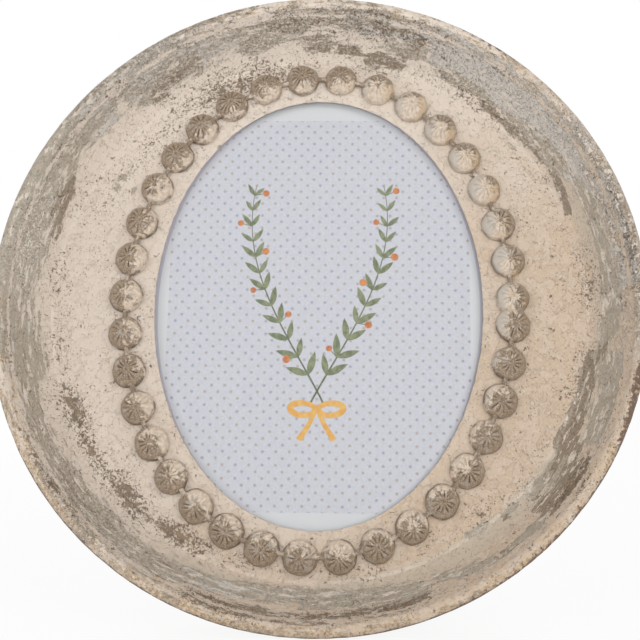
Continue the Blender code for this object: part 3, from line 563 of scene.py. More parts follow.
def ramp(value, start, width):
    """0 up to a start, and 1 from a width beyond it."""
    return min(1.0, max(0.0, (value - start) / width))


def bump_of(distance):
    """Soft bump that is 1 in its middle and 0 from a distance of 1 on."""
    return max(0.0, 1.0 - distance * distance) ** 2


def skin(builder, near, far):
    """Faces between two closed rows of vertices."""
    for i, vert in enumerate(near):
        following = (i + 1) % len(near)
        builder.faces.new((vert, near[following], far[following], far[i]))


# Front shell
def window_radius(angle):
    return 1.0 / math.hypot(math.sin(angle) / WINDOW_HALF_WIDTH, math.cos(angle) / WINDOW_HALF_HEIGHT)


def field_depth(x, z):
    lip = window_radius(math.atan2(x, z))
    share = (math.hypot(x, z) - lip) / (CREASE_RADIUS - lip)
    return LIP_DEPTH + FIELD_RISE * max(share, 0.0) ** FIELD_CROWN


def field_normal(x, z):
    step = 0.5
    slope_x = (field_depth(x + step, z) - field_depth(x - step, z)) / (2.0 * step)
    slope_z = (field_depth(x, z + step) - field_depth(x, z - step)) / (2.0 * step)
    return Vector((slope_x, -1.0, slope_z)).normalized()


def rim_section():
    """Finely stepped rim section from the crease to the folded edge, as (radius, depth)."""
    def bead(turn):
        return (RIM_RADIUS - BEAD_RADIUS + BEAD_RADIUS * math.sin(turn),
                BEAD_RADIUS - BEAD_RADIUS * math.cos(turn))

    # The concave wall is a curve whose end slopes meet at a bend point
    foot, head = (CREASE_RADIUS, CREASE_DEPTH), bead(-COVE_HEAD_ANGLE)
    foot_slope = (math.cos(COVE_FOOT_ANGLE), -math.sin(COVE_FOOT_ANGLE))
    head_slope = (math.cos(COVE_HEAD_ANGLE), -math.sin(COVE_HEAD_ANGLE))
    span = (head[0] - foot[0], head[1] - foot[1])
    cross = foot_slope[0] * head_slope[1] - foot_slope[1] * head_slope[0]
    along = (span[0] * head_slope[1] - span[1] * head_slope[0]) / cross
    bend = (foot[0] + along * foot_slope[0], foot[1] + along * foot_slope[1])
    points = [tuple((1.0 - t) ** 2 * a + 2.0 * t * (1.0 - t) * b + t * t * c
                    for a, b, c in zip(foot, bend, head)) for t in shares(14)[:-1]]
    points += [bead(-COVE_HEAD_ANGLE * (1.0 - t)) for t in shares(8)[:-1]]
    points += [bead(QUARTER * t) for t in shares(9)]
    points.append(bead(QUARTER + SIDE_TAPER))
    # Then the tapered side and the folded edge
    side_radius, side_depth = points[-1]
    corner_depth = EDGE_REAR - EDGE_FOLD_ROUND
    side_end = side_radius - (corner_depth - side_depth) * math.tan(SIDE_TAPER)
    points += [(side_radius + (side_end - side_radius) * t, side_depth + (corner_depth - side_depth) * t)
               for t in shares(5)[1:-1]]
    corner = side_end - EDGE_FOLD_ROUND
    points += arc(corner, corner_depth, EDGE_FOLD_ROUND, 0.0)
    points += [(corner - (EDGE_FOLD_WIDTH - EDGE_FOLD_ROUND) * t, EDGE_REAR) for t in shares(3)[1:]]
    return points


# Patches of patina: bearings from and to in degrees clockwise from the top, radius at both
# ends and half width in millimetres, strength, and tone from brown (-1) to silver (1)
PATINA = (
    (345, 354, 111.5, 113.5, 3.8, 1.05, -0.1), (355, 363, 114.0, 115.0, 2.2, 0.9, -0.3),
    (321, 345, 115.5, 111.5, 3.2, 0.65, 0.35), (319, 333, 112.8, 111.5, 3.9, 0.95, 0.3),
    (323, 332, 108.4, 110.8, 2.3, 1.0, -0.9), (303, 312, 115.0, 113.8, 3.6, 1.0, 0.4),
    (262, 303, 117.0, 117.0, 5.2, 1.35, -0.05), (268, 290, 112.0, 112.0, 4.0, 0.9, 0.0),
    (303, 346, 119.5, 119.5, 1.8, 1.0, -0.4),
    (285, 297, 106.5, 109.0, 1.3, 1.1, -0.8), (296, 311, 110.5, 113.5, 1.2, 1.0, 0.0),
    (280, 289, 108.0, 110.0, 1.5, 0.95, -0.2), (301, 303, 94.5, 94.5, 2.0, 1.0, 0.0),
    (302, 303, 86.5, 86.5, 1.2, 0.9, -0.2), (257, 268, 111.0, 113.5, 5.0, 1.15, 0.0),
    (245, 257, 113.0, 110.5, 2.6, 1.05, -0.1), (235, 245, 111.5, 112.0, 2.4, 0.9, 0.0),
    (221, 236, 111.5, 112.0, 3.6, 1.15, -0.3), (206, 223, 111.5, 111.5, 3.2, 1.1, -0.1),
    (182, 205, 106.5, 110.0, 2.6, 1.1, 0.3), (180, 200, 114.8, 115.0, 1.4, 1.1, -0.9),
    (160, 181, 110.5, 107.5, 3.0, 1.1, 0.1), (160, 180, 113.0, 114.5, 1.5, 1.0, -0.9),
    (146, 156, 113.0, 109.0, 1.7, 0.9, 0.0), (135, 144, 113.0, 113.0, 1.3, 0.85, -0.3),
    (127, 133, 110.5, 110.0, 1.9, 1.1, -0.5), (121, 132, 114.0, 114.2, 1.3, 1.0, -0.9),
    (119, 126, 107.0, 111.0, 2.9, 1.2, -0.5),
    (122, 131, 106.0, 105.2, 1.7, 1.1, -0.2), (101, 116, 110.8, 111.8, 2.7, 1.1, 0.1),
    (101, 119, 105.2, 103.8, 2.5, 1.35, -0.6), (92, 103, 108.5, 106.5, 1.7, 1.15, -0.4),
    (130, 131, 103.5, 103.5, 1.2, 1.0, -0.3), (135, 138, 104.0, 104.3, 1.5, 1.0, -0.3),
    (143, 146, 102.3, 102.0, 1.5, 0.95, -0.1), (61, 86, 110.6, 109.4, 1.8, 1.1, 0.1),
    (84, 95, 110.0, 109.5, 2.6, 1.1, 0.1), (66, 86, 115.0, 115.0, 2.6, 0.95, 0.7),
    (26, 60, 112.0, 112.0, 4.4, 1.15, 1.0), (46, 59, 105.8, 108.8, 2.6, 1.3, -0.5),
    (38, 46, 105.4, 105.8, 1.6, 1.1, -0.8), (27, 36, 107.8, 107.4, 1.6, 1.0, -0.6),
    (59, 68, 106.0, 104.0, 1.2, 1.1, -1.0), (5, 25, 113.8, 114.8, 2.9, 0.85, 0.35),
    (11, 17, 105.0, 105.6, 1.8, 1.25, -0.7), (16, 21, 108.3, 110.2, 1.8, 1.1, -0.3),
    (4, 8, 106.5, 106.4, 1.2, 1.1, -0.5), (358, 361, 108.2, 108.2, 1.9, 1.15, -0.4),
)

# Stretches of the smooth wash, in the same terms without strength and tone
WASHES = ((121, 177, 105.4, 103.9, 3.4), (183, 208, 106.0, 107.0, 2.6), (64, 103, 107.0, 107.6, 2.8))

# Clusters of dark specks: bearing, radius, half spread in degrees and in millimetres, strength
SPECKLED = (
    (340, 99, 20, 8, 0.85), (318, 93, 17, 11, 0.5), (299, 98, 20, 11, 0.3), (274, 102, 12, 5, 0.5),
    (262, 100, 14, 6, 0.5), (246, 100, 8, 6, 0.95), (236, 101, 9, 4, 0.9), (224, 100, 10, 6, 0.95),
    (210, 99, 10, 5, 0.9), (196, 99, 10, 5, 0.5), (12, 101, 14, 5, 0.45), (35, 104, 14, 4, 0.5),
    (62, 100, 14, 7, 0.4), (84, 103, 12, 6, 0.55), (104, 101, 12, 5, 0.5), (140, 99, 16, 6, 0.35),
    (170, 99, 14, 6, 0.4), (170, 114, 16, 3, 0.8), (195, 115, 14, 3, 0.8), (126, 114, 9, 3, 0.9),
    (232, 116, 14, 3, 0.7), (15, 114, 16, 5, 0.7), (355, 114, 10, 4, 0.6), (80, 116, 14, 4, 0.7),
)

# Where the patina is salted with dust rather than solid: bearing, half spread, strength
SALTED = ((355, 45, 0.8), (225, 34, 0.5), (182, 24, 0.3), (42, 30, 0.6), (323, 22, 0.5))

# In the same terms: crazed paint, the rubbed edge's gold and its chips, and bare metal on the rosettes, which
# also serves as painted shade on their outer sides
CRAZED = ((74, 42, 1.0), (322, 30, 0.6), (222, 22, 0.5))
GOLDEN = ((222, 60, 0.28), (135, 50, 0.25), (295, 55, -0.45))
CHIPPED = ((104, 18, 1.0), (222, 50, 0.25), (135, 40, 0.35), (33, 12, 0.5))
BARED = ((150, 80, 0.06), (42, 55, -0.40), (330, 40, 0.2), (260, 60, 0.1))

# The shell's side behind the bead is worn evenly
BEHIND = {"grey": 0.25, "wash": 0.0, "speck": 0.3, "crackle": 0.0}

# Radius at which the flow's first two axes run in millimetres
FLOW_RADIUS = 110.0
SHELL_SEGMENTS = 480
FIELD_STEPS = 16


def arc_gap(angle, centre):
    """Degrees from one bearing to another, the short way, with a sign."""
    return (angle - centre + 180.0) % 360.0 - 180.0


def near(degrees, bearing, spread):
    return bump_of(arc_gap(degrees, bearing) / spread)


def wear_at(degrees, places):
    return sum(strength * near(degrees, bearing, spread) for bearing, spread, strength in places)


def along_arc(degrees, radius, start, end, start_radius, end_radius, half_width):
    """How far a place lies out of a drawn arc: 0 on its line, 1 well beyond its side."""
    share = arc_gap(degrees, (start + end) / 2) / (end - start) + 0.5
    held = min(1.0, max(0.0, share))
    beyond = abs(share - held) * math.radians(end - start) * radius
    aside = radius - (start_radius + (end_radius - start_radius) * held)
    return math.hypot(aside, 0.7 * beyond) / (1.85 * half_width)


def patina_at(degrees, radius):
    """Level of the grey patina at a place, and its tone."""
    level = weight = tone = 0.0
    for *arc_row, strength, shade in PATINA:
        value = strength * bump_of(along_arc(degrees, radius, *arc_row))
        level = max(level, value)
        weight += value
        tone += value * shade
    return level, tone / weight if weight > 0.0 else 0.0


def wash_at(degrees, radius):
    return max(bump_of(along_arc(degrees, radius, *wash)) for wash in WASHES)


def specks_at(degrees, radius):
    found = 0.16
    for bearing, middle, spread, width, strength in SPECKLED:
        found = max(found, strength * bump_of(math.hypot(arc_gap(degrees, bearing) / (1.5 * spread),
                                                         (radius - middle) / (1.5 * width))))
    return found


def make_shell():
    rim = rim_section()
    builder = bmesh.new()
    records, grid = [], []
    for angle in full_turn(SHELL_SEGMENTS):
        lip = window_radius(angle)
        row = [(lip, LIP_DEPTH + 0.3), (lip + 0.1, LIP_DEPTH + 0.09), (lip + 0.3, LIP_DEPTH)]
        row += [(lip + (CREASE_RADIUS - lip) * share, LIP_DEPTH + FIELD_RISE * share ** FIELD_CROWN)
                for share in shares(FIELD_STEPS)[1:-1]]
        ring = []
        for number, (radius, depth) in enumerate(row + rim):
            x, z = radius * math.sin(angle), radius * math.cos(angle)
            # The sheet was pressed by hand: slight waves, most on the field and the wall
            wave = (noise.noise(Vector((x, z, 3.0)) * 0.035) * 0.30
                    + noise.noise(Vector((x, z, 9.0)) * 0.11) * 0.12)
            nick = abs(noise.noise(Vector((x, z, 5.0)) * 0.16)) * 0.18
            ragged = max(0.0, noise.noise(Vector((x, z, 7.0)) * 0.3)) * 0.35 if number < 3 else 0.0
            # Waves and nicks fade out at the lip, whose edge is ragged instead
            free = ramp(number, 2, 3.0)
            sink = abs(wave) * free if depth < EDGE_REAR - 1.0 else 0.0
            push = ragged - nick * free
            place = (x + math.sin(angle) * push, depth + sink, z + math.cos(angle) * push)
            ring.append(builder.verts.new(place))
            records.append((angle, radius, depth))
        grid.append(ring)
    for i, ring in enumerate(grid):
        following = grid[(i + 1) % len(grid)]
        for k in range(len(ring) - 1):
            builder.faces.new((ring[k], following[k], following[k + 1], ring[k + 1]))
    shell = finished("shell_sheet", builder, worn_paint(), "frame", ("front_shell",))
    keep_patina(shell.data, records)
    solid = shell.modifiers.new("Sheet", "SOLIDIFY")
    solid.thickness = SHEET * MM
    solid.offset = -1.0
    solid.use_even_offset = True


def keep_patina(mesh, records):
    """Attributes that tell the paint where it has worn, from (angle, radius, depth) records."""
    flow, rows = [], []
    for angle, radius, depth in records:
        degrees = math.degrees(angle)
        level, tone = patina_at(degrees, radius)
        edge_start = 112.5 + 2.6 * near(degrees, 130.0, 60.0)
        # A thin dark line runs round the outermost edge, stronger at the lower right; it goes into the same
        # value as the rust chips
        line = (0.55 + 0.25 * near(degrees, 135.0, 50.0)) * bump_of((radius - RIM_RADIUS) / 0.8)
        chips = max(0.0, (radius - 116.0) / 4.0) * wear_at(degrees, CHIPPED)
        flow += (FLOW_RADIUS * math.cos(angle), FLOW_RADIUS * math.sin(angle), radius - depth)
        row = {
            # Between the patches the wall and the bead still flake here and there
            "grey": max(level, 0.27 * bump_of((radius - 113.0) / 9.0)),
            "tone": tone,
            "wash": wash_at(degrees, radius),
            "speck": specks_at(degrees, radius),
            "edge": ramp(radius, edge_start, 5.5) * (0.5 + wear_at(degrees, GOLDEN)),
            "rust": min(0.75, chips + 0.15 * ramp(radius, 115.5, 4.0) + line),
            "salt": 0.12 + wear_at(degrees, SALTED),
            "crackle": wear_at(degrees, CRAZED) * bump_of((radius - 117.0) / 8.0),
            "rain": near(degrees, 282.0, 19.0) * bump_of((radius - 112.5) / 7.0),
        }
        if depth > BEAD_RADIUS and radius > CREASE_RADIUS + 12.0:
            row.update(BEHIND)
        rows.append(row)
    keep(mesh, "flow", "FLOAT_VECTOR", flow)
    for name in WEAR:
        keep(mesh, name, "FLOAT", [row[name] for row in rows])


# Rosette strip
def strip_places():
    """Foot and normal of each rosette on its oval."""
    half_width = WINDOW_HALF_WIDTH + STRIP_OFFSET_SIDE
    half_height = WINDOW_HALF_HEIGHT + STRIP_OFFSET_TOP
    points = [(half_width * math.sin(turn), half_height * math.cos(turn)) for turn in full_turn(7200)]
    points.append(points[0])
    lengths = [0.0]
    for before, after in zip(points, points[1:]):
        lengths.append(lengths[-1] + math.dist(after, before))
    total = lengths[-1]
    pitch = (total - STRIP_END_GAP) / (ROSETTE_COUNT - 1)
    first = total / 4 + SEAM_DROP + STRIP_END_GAP / 2
    places = []
    for k in range(ROSETTE_COUNT):
        length = first + pitch * k
        wanted = (length + STRIP_DRIFT * (math.sin(2.0 * math.pi * length / total) - 1.0)) % total
        index = max(1, next(n for n, reached in enumerate(lengths) if reached >= wanted))
        share = (wanted - lengths[index - 1]) / (lengths[index] - lengths[index - 1])
        x, z = (a + (b - a) * share for a, b in zip(points[index - 1], points[index]))
        normal = field_normal(x, z)
        places.append((Vector((x, field_depth(x, z), z)) + normal * CLEARANCE, normal))
    return places


def dome_height(share, turn, flutes, depth, reach):
    """Height over the base at a share of the radius, with how hollow the place is."""
    off = abs(share - 0.23 - reach) / reach
    window = 1.0 - off ** 4 if off < 1.0 else 0.0
    groove = max(0.0, math.cos(flutes * turn)) ** 3 * window
    ridge = max(0.0, -math.cos(flutes * turn)) ** 2 * window
    pit = bump_of(share / 0.10)
    collar = bump_of((share - 0.155) / 0.06)
    moat = bump_of((share - 0.225) / 0.04)
    height = ROSETTE_HEIGHT * (1.0 - share ** 2.3) ** 0.62 - depth * groove + 0.12 * ridge
    height += 0.22 * collar - 0.65 * pit - 0.15 * moat
    return height, min(1.0, groove + 0.9 * pit + 0.35 * moat)


def make_rosettes():
    chooser = random.Random(11)
    builder = bmesh.new()
    places = strip_places()
    wear_rows = []
    for number, (centre, normal) in enumerate(places):
        flutes = chooser.choice((12, 13, 13, 14))
        depth = chooser.uniform(0.38, 0.62)
        start = chooser.uniform(0.0, math.pi)
        size = chooser.uniform(0.975, 1.015)
        squash = chooser.uniform(0.96, 1.0)
        reach = chooser.uniform(0.22, 0.31)
        # Bare metal shows on the outer halves, all over at the lower right and thinly at the upper right;
        # these dark outer halves are also painted shade, where the rim wall shades the rosettes
        bearing = math.degrees(math.atan2(centre.x, centre.z)) % 360.0
        bias = 0.62 + chooser.uniform(-0.18, 0.18) + wear_at(bearing, BARED)
        # Share of the painted sheen and shade, most on the rosettes at the upper right
        golden = near(bearing, 60.0, 85.0)
        outward = Vector((centre.x, 0.0, centre.z)).normalized()
        lean_to = (outward + Vector((-0.25, 0.0, -0.15))).normalized()
        turn_up = Vector((0, 0, 1)).rotation_difference(normal).to_matrix()
        spokes = full_turn(flutes * 6)
        rings = []
        for ring_share in shares(22):
            share = ring_share ** 0.8
            ring = []
            for spoke in spokes if rings else spokes[:1]:
                turn = start + spoke
                flat = Vector((math.cos(turn), math.sin(turn), 0.0))
                swing = noise.noise(Vector((1.6 * flat.x, 1.6 * flat.y, number * 3.7)))
                ragged = noise.noise(Vector((2.6 * flat.x, 2.6 * flat.y, number * 5.1)))
                rough = noise.noise(centre * 0.7 + flat * share * 4.0)
                lump = noise.noise(centre * 0.9 + flat * share * 1.8)
                bend = 0.30 * noise.noise(centre * 1.1 + flat * share * 2.2) * share
                radius = ROSETTE_RADIUS * size * share * (1.0 + 0.045 * ragged * share)
                spread = turn_up @ Vector((radius * flat.x * squash, radius * flat.y, 0.0))
                side = Vector((spread.x, 0.0, spread.z)).dot(lean_to) / ROSETTE_RADIUS
                wear_and_shade = bias + 0.55 * side
                # Paint has filled the flutes where it still lies thick
                filled = 1.0 - 0.7 * min(1.0, max(0.0, (0.62 - wear_and_shade) / 0.3))
                height, deep = dome_height(share, turn - start + bend, flutes,
                                           depth * filled * max(0.15, 1.0 + 1.5 * swing), reach)
                height = max(0.0, height * size + (0.30 * rough + 0.45 * lump) * (1.0 - share * share))
                ring.append(builder.verts.new(centre + spread + normal * height))
                # Kept for each place: bare metal that is partly painted shade, hollows, the painted shadow at
                # the foot, and the painted sheen and shade
                wear_rows.append((wear_and_shade, deep * (0.35 + 0.65 * filled),
                                  bump_of((share - 1.0) / 0.13) * (1.0 - 0.6 * near(bearing, 20.0, 80.0)),
                                  golden * (0.9 * spread.x - 0.2 * spread.z) / ROSETTE_RADIUS))
            rings.append(ring)
        for inner, outer in zip(rings, rings[1:]):
            for i, vert in enumerate(outer):
                following = (i + 1) % len(outer)
                if len(inner) == 1:
                    builder.faces.new((inner[0], vert, outer[following]))
                else:
                    builder.faces.new((inner[i], vert, outer[following], inner[following]))
        builder.faces.new(list(reversed(rings[-1])))
    # Short necks between neighbours, low on the field; the seam has none
    for (start, start_normal), (end, end_normal) in zip(places, places[1:]):
        along = (end - start).normalized()
        rings = []
        for step in shares(6):
            share = 0.30 + 0.40 * step
            normal = start_normal.lerp(end_normal, share).normalized()
            middle = start.lerp(end, share) + normal * 0.95
            cross = along.cross(normal).normalized()
            width = 1.25 - 0.35 * bump_of((share - 0.5) / 0.22)
            ring = []
            for turn in full_turn(10):
                ring.append(builder.verts.new(middle + cross * (width * math.cos(turn))
                                              + normal * (0.95 * math.sin(turn))))
                # The necks' foot value is painted shade, darker on their side towards the field
                wear_rows.append((0.55, 0.15, 0.35 + 0.4 * max(0.0, -math.sin(turn)), 0.0))
            rings.append(ring)
        builder.faces.new(rings[0])
        for previous, ring in zip(rings, rings[1:]):
            skin(builder, previous, ring)
        builder.faces.new(list(reversed(rings[-1])))
    bmesh.ops.recalc_face_normals(builder, faces=builder.faces)
    strip = finished("rosette_castings", builder, worn_metal(), "frame", ("rosette_strip",))
    for name, values in zip(("bare_and_shade_side", "hollow", "foot", "sheen_and_shade"), zip(*wear_rows)):
        keep(strip.data, name, "FLOAT", values)


# Print: two leafy twigs with berries, tied with a bow
LEAF_SLIMNESS = 0.30


def on_card(builder, outline, lift):
    """Flat shape on the card from (x, z) points, in millimetres."""
    face = builder.faces.new([builder.verts.new((x, PRINT_FRONT - lift, z)) for x, z in outline])
    face.normal_update()
    if face.normal.y > 0:
        face.normal_flip()


def draw_leaf(builder, base, angle, length, lift):
    """Leaf that tapers to both ends."""
    points = []
    for side, steps in ((1.0, shares(9)), (-1.0, shares(9)[-2:0:-1])):
        for t in steps:
            half = side * length * LEAF_SLIMNESS / 2 * math.sin(math.pi * t ** 0.85) ** 0.9
            points.append((base[0] + length * t * math.cos(angle) - half * math.sin(angle),
                           base[1] + length * t * math.sin(angle) + half * math.cos(angle)))
    on_card(builder, points, lift)


def draw_stroke(builder, points, widths, lift):
    """Brush stroke along points, with a width at each."""
    left, right = [], []
    for i, (x, z) in enumerate(points):
        before, after = points[max(i - 1, 0)], points[min(i + 1, len(points) - 1)]
        dx, dz = after[0] - before[0], after[1] - before[1]
        length = math.hypot(dx, dz)
        nx, nz = -dz / length * widths[i] / 2, dx / length * widths[i] / 2
        left.append((x + nx, z + nz))
        right.append((x - nx, z - nz))
    for i in range(len(points) - 1):
        on_card(builder, (left[i], left[i + 1], right[i + 1], right[i]), lift)


def make_print():
    chooser = random.Random(5)
    stems, leaves, berries, ribbon = bmesh.new(), bmesh.new(), bmesh.new(), bmesh.new()
    for side in (-1.0, 1.0):
        path = [(side * (27.0 * math.sin(math.pi * 0.62 * t) ** 1.05 - 3.0 * (1.0 - t)),
                 -38.0 + 88.0 * t ** 0.95) for t in shares(40)]
        draw_stroke(stems, path, [0.75 - 0.5 * t for t in shares(40)], 0.02)
        for n, i in enumerate(range(5, len(path), 3)):
            (x, z), before = path[i], path[i - 1]
            heading = math.atan2(z - before[1], x - before[0])
            for hand in (1.0, -1.0):
                length = (9.5 - 0.11 * i) * chooser.uniform(0.88, 1.1)
                angle = heading + hand * chooser.uniform(0.55, 0.8)
                draw_leaf(leaves, (x, z), angle, length, 0.03 + 0.001 * n)
            if n % 2 == 1:
                angle = heading + (1.25 if n % 4 == 1 else -1.25)
                tip = (x + 4.6 * math.cos(angle), z + 4.6 * math.sin(angle))
                draw_stroke(stems, [(x, z), tip], [0.35, 0.3], 0.025)
                on_card(berries, arc(*tip, chooser.uniform(1.15, 1.5), 0.0, 2.0 * math.pi, 20)[:-1], 0.05)
        loop = [(side * (0.8 + 4.6 * (1.0 + math.cos(math.pi * (1.0 - 2.0 * t)))),
                 -38.5 + 3.1 * math.sin(math.pi * (1.0 - 2.0 * t)) * (0.5 + t * 0.5)) for t in shares(24)]
        draw_stroke(ribbon, loop, [1.5 + 0.9 * math.sin(math.pi * t) for t in shares(24)], 0.06)
        tail = [(side * (0.6 + 6.0 * t), -39.5 - 11.0 * t ** 0.8) for t in shares(12)]
        draw_stroke(ribbon, tail, [1.4 + 0.9 * t for t in shares(12)], 0.055)
    knot = [(1.7 * math.cos(turn), -38.6 + 1.5 * math.sin(turn)) for turn in full_turn(16)]
    on_card(ribbon, knot, 0.08)
    for name, builder, ink, light, dark in (
            ("print_stems", stems, "stem_ink", (112, 120, 88), (84, 92, 64)),
            ("print_leaves", leaves, "leaf_ink", (136, 143, 104), (96, 106, 72)),
            ("print_berries", berries, "berry_ink", (214, 136, 66), (184, 98, 48)),
            ("print_ribbon", ribbon, "ribbon_ink", (232, 180, 88), (220, 158, 62))):
        finished(name, builder, watercolour(ink, light, dark), "frame", smooth=False)


# Shapes of the hidden side, drawn with small chamfers
SHEET_CHAMFER = 0.12
BAND_CHAMFER = 0.15
BUTTON_CHAMFER = 0.22
STRUT_CHAMFER = 0.3
BOARD_CHAMFER = 0.35
OVAL_SEGMENTS = 216

# Rivet from its shank to its head, as (radius, height)
RIVET = ((1.2, -1.6), (1.2, 0.0), (2.4, 0.0), (2.36, 0.3), (2.0, 0.72), (1.3, 0.98), (0.5, 1.1))


def join_loops(builder, loops, closed):
    """Skin between closed loops of points; the ends join up or are capped."""
    rows = [[builder.verts.new(point) for point in loop] for loop in loops]
    if not closed:
        builder.faces.new(rows[0])
        builder.faces.new(list(reversed(rows[-1])))
    for near_row, far_row in zip(rows, rows[1:]):
        skin(builder, near_row, far_row)
    if closed:
        skin(builder, rows[-1], rows[0])


def inset(outline, amount):
    """Closed (x, z) outline, counter-clockwise, moved inwards by an amount."""
    points = []
    for i, (x, z) in enumerate(outline):
        before = Vector(outline[i - 1])
        here = Vector((x, z))
        after = Vector(outline[(i + 1) % len(outline)])
        first = (here - before).normalized()
        second = (after - here).normalized()
        side = Vector((-first.y - second.y, first.x + second.x)).normalized()
        corner = max(0.5, side.dot(Vector((-first.y, first.x))))
        points.append(tuple(here + side * (amount / corner)))
    return points


def slab(builder, outline, front, rear, chamfer, hole=0.0):
    """Plate between two depths, from an (x, z) outline; a hole goes round the origin."""
    small = inset(outline, chamfer)
    loops = [[(x, depth, z) for x, z in edge] for edge, depth in (
        (small, front), (outline, front + chamfer), (outline, rear - chamfer), (small, rear))]
    if hole:
        bearings = [math.atan2(z, x) for x, z in outline]
        for depth in (rear, front):
            loops.append([(hole * math.cos(turn), depth, hole * math.sin(turn)) for turn in bearings])
    join_loops(builder, loops, closed=hole > 0.0)


def oval_band(builder, outer, inner, front, rear):
    """Flat ring between two ovals given as (half width, half height)."""
    cut = BAND_CHAMFER
    section = ((outer, 0.0, front + cut), (outer, cut, front), (inner, -cut, front),
               (inner, 0.0, front + cut), (inner, 0.0, rear - cut), (inner, -cut, rear),
               (outer, cut, rear), (outer, 0.0, rear - cut))
    loops = [[((half_width - step) * math.sin(turn), depth, (half_height - step) * math.cos(turn))
              for turn in full_turn(OVAL_SEGMENTS)] for (half_width, half_height), step, depth in section]
    join_loops(builder, loops, closed=True)


def tube_across(builder, radius, bore, low, high):
    """Tube along x, such as a hinge knuckle."""
    loops = [[(x, r * math.cos(turn), r * math.sin(turn)) for turn in full_turn(28)]
             for r, x in ((radius, low), (radius, high), (bore, high), (bore, low))]
    join_loops(builder, loops, closed=True)


def turned(builder, profile, place):
    """Turned solid about a local z axis, from (radius, height) points."""
    loops = [[place @ Vector((r * math.cos(turn), r * math.sin(turn), height)) for turn in full_turn(32)]
             for r, height in profile]
    join_loops(builder, loops, closed=False)


def facing_back(x, y, z):
    return Matrix.Translation((x, y, z)) @ Matrix.Rotation(-QUARTER, 4, "X")


def solid_piece(name, looks, body, node, *drawn, axes=Matrix()):
    """Piece drawn by helpers given with their arguments; its looks are a material and a slot name, and the
    slot name is not used.
    """
    builder = bmesh.new()
    for draw, *details in drawn:
        draw(builder, *details)
    bmesh.ops.recalc_face_normals(builder, faces=builder.faces)
    finished(name, builder, looks[0], body, (node,), axes=axes)


def make_back_sheets(steel, board):
    """Sheets and board of the hidden side."""
    outer = tuple(half + REBATE_WALL for half in REBATE_HALF)
    plate_hole = tuple(half + CLEARANCE for half in outer)
    solid_piece("back_sheet", steel, "frame", "back_plate",
                (oval_band, (PLATE_RADIUS, PLATE_RADIUS), plate_hole, *PLATE_DEPTHS))
    solid_piece("rebate_band", steel, "frame", "rebate_ring",
                (oval_band, outer, REBATE_HALF, field_depth(0.0, outer[1]) + SHEET + CLEARANCE,
                 BOARD_REAR - CLEARANCE))
    edge = [(GLASS_HALF[0] * math.cos(turn), GLASS_HALF[1] * math.sin(turn))
            for turn in full_turn(OVAL_SEGMENTS)]
    solid_piece("cover_board", board, "frame", "back_board",
                (slab, edge, BOARD_REAR - BOARD_THICKNESS, BOARD_REAR, BOARD_CHAMFER))


def make_clips(plating):
    """Turn buttons on their studs."""
    beyond = REBATE_WALL + 1.0 + STUD_RADIUS
    half_width, half_height = (half + beyond for half in REBATE_HALF)
    tangent = math.acos((BUTTON_HUB_RADIUS - BUTTON_NOSE_RADIUS) / BUTTON_REACH)
    outline = arc(0.0, 0.0, BUTTON_HUB_RADIUS, tangent, 2.0 * math.pi - 2.0 * tangent, 20)
    outline += arc(BUTTON_REACH, 0.0, BUTTON_NOSE_RADIUS, -tangent, 2.0 * tangent, 20)
    front = BOARD_REAR + CLEARANCE
    head = front + BUTTON_SHEET + CLEARANCE
    stud_profile = (
        (STUD_RADIUS - 0.2, PLATE_DEPTHS[1] + CLEARANCE), (STUD_RADIUS, PLATE_DEPTHS[1] + 0.5),
        (STUD_RADIUS, BOARD_REAR - 0.2), (STUD_RADIUS - 0.2, BOARD_REAR), (STUD_NECK_RADIUS, BOARD_REAR),
        (STUD_NECK_RADIUS, head), (STUD_RADIUS, head), (STUD_RADIUS, head + 0.4), (2.7, head + 0.85),
        (2.2, head + 1.1), (1.2, head + 1.2))
    for number, bearing in enumerate((45.0, 135.0, 225.0, 315.0), start=1):
        turn = math.radians(bearing)
        x, z = half_width * math.sin(turn), half_height * math.cos(turn)
        inward = math.atan2(-z / half_height ** 2, -x / half_width ** 2)
        axes = Matrix.Translation((x, 0.0, z)) @ Matrix.Rotation(-inward, 4, "Y")
        solid_piece("clip_%d" % number, plating, "button_%d" % number, "turn_button_%d" % number,
                    (slab, outline, front, front + BUTTON_SHEET, BUTTON_CHAMFER, BUTTON_BORE), axes=axes)
        solid_piece("stud_%d" % number, plating, "frame", "button_stud_%d" % number,
                    (turned, stud_profile, facing_back(x, 0.0, z)))


def stop_tongue(builder):
    """Tongue of the lower leaf that lies flat on the board while the strut is open."""
    width = HINGE_MIDDLE_HALF - CLEARANCE
    outline = [(-width, 0.0), (width, 0.0)]
    outline += arc(width - 1.0, 8.0, 1.0, 0.0) + arc(1.0 - width, 8.0, 1.0, QUARTER)
    before = len(builder.verts)
    front = CLEARANCE + HINGE_SHEET - KNUCKLE_RADIUS
    slab(builder, outline, front, CLEARANCE + 2.0 * HINGE_SHEET - KNUCKLE_RADIUS, SHEET_CHAMFER)
    bmesh.ops.transform(builder, matrix=Matrix.Rotation(-STRUT_ANGLE, 4, "X"),
                        verts=list(builder.verts)[before:])


def sloped_leg(builder, outline, foot, tilt):
    """Strut whose foot is cut level with the floor, so that its length changes with the depth."""
    rear = KNUCKLE_RADIUS - HINGE_SHEET - CLEARANCE
    slab(builder, outline, rear - BOARD_THICKNESS, rear, STRUT_CHAMFER)
    for vert in builder.verts:
        vert.co.z -= vert.co.y * math.tan(tilt) * max(0.0, vert.co.z / foot)


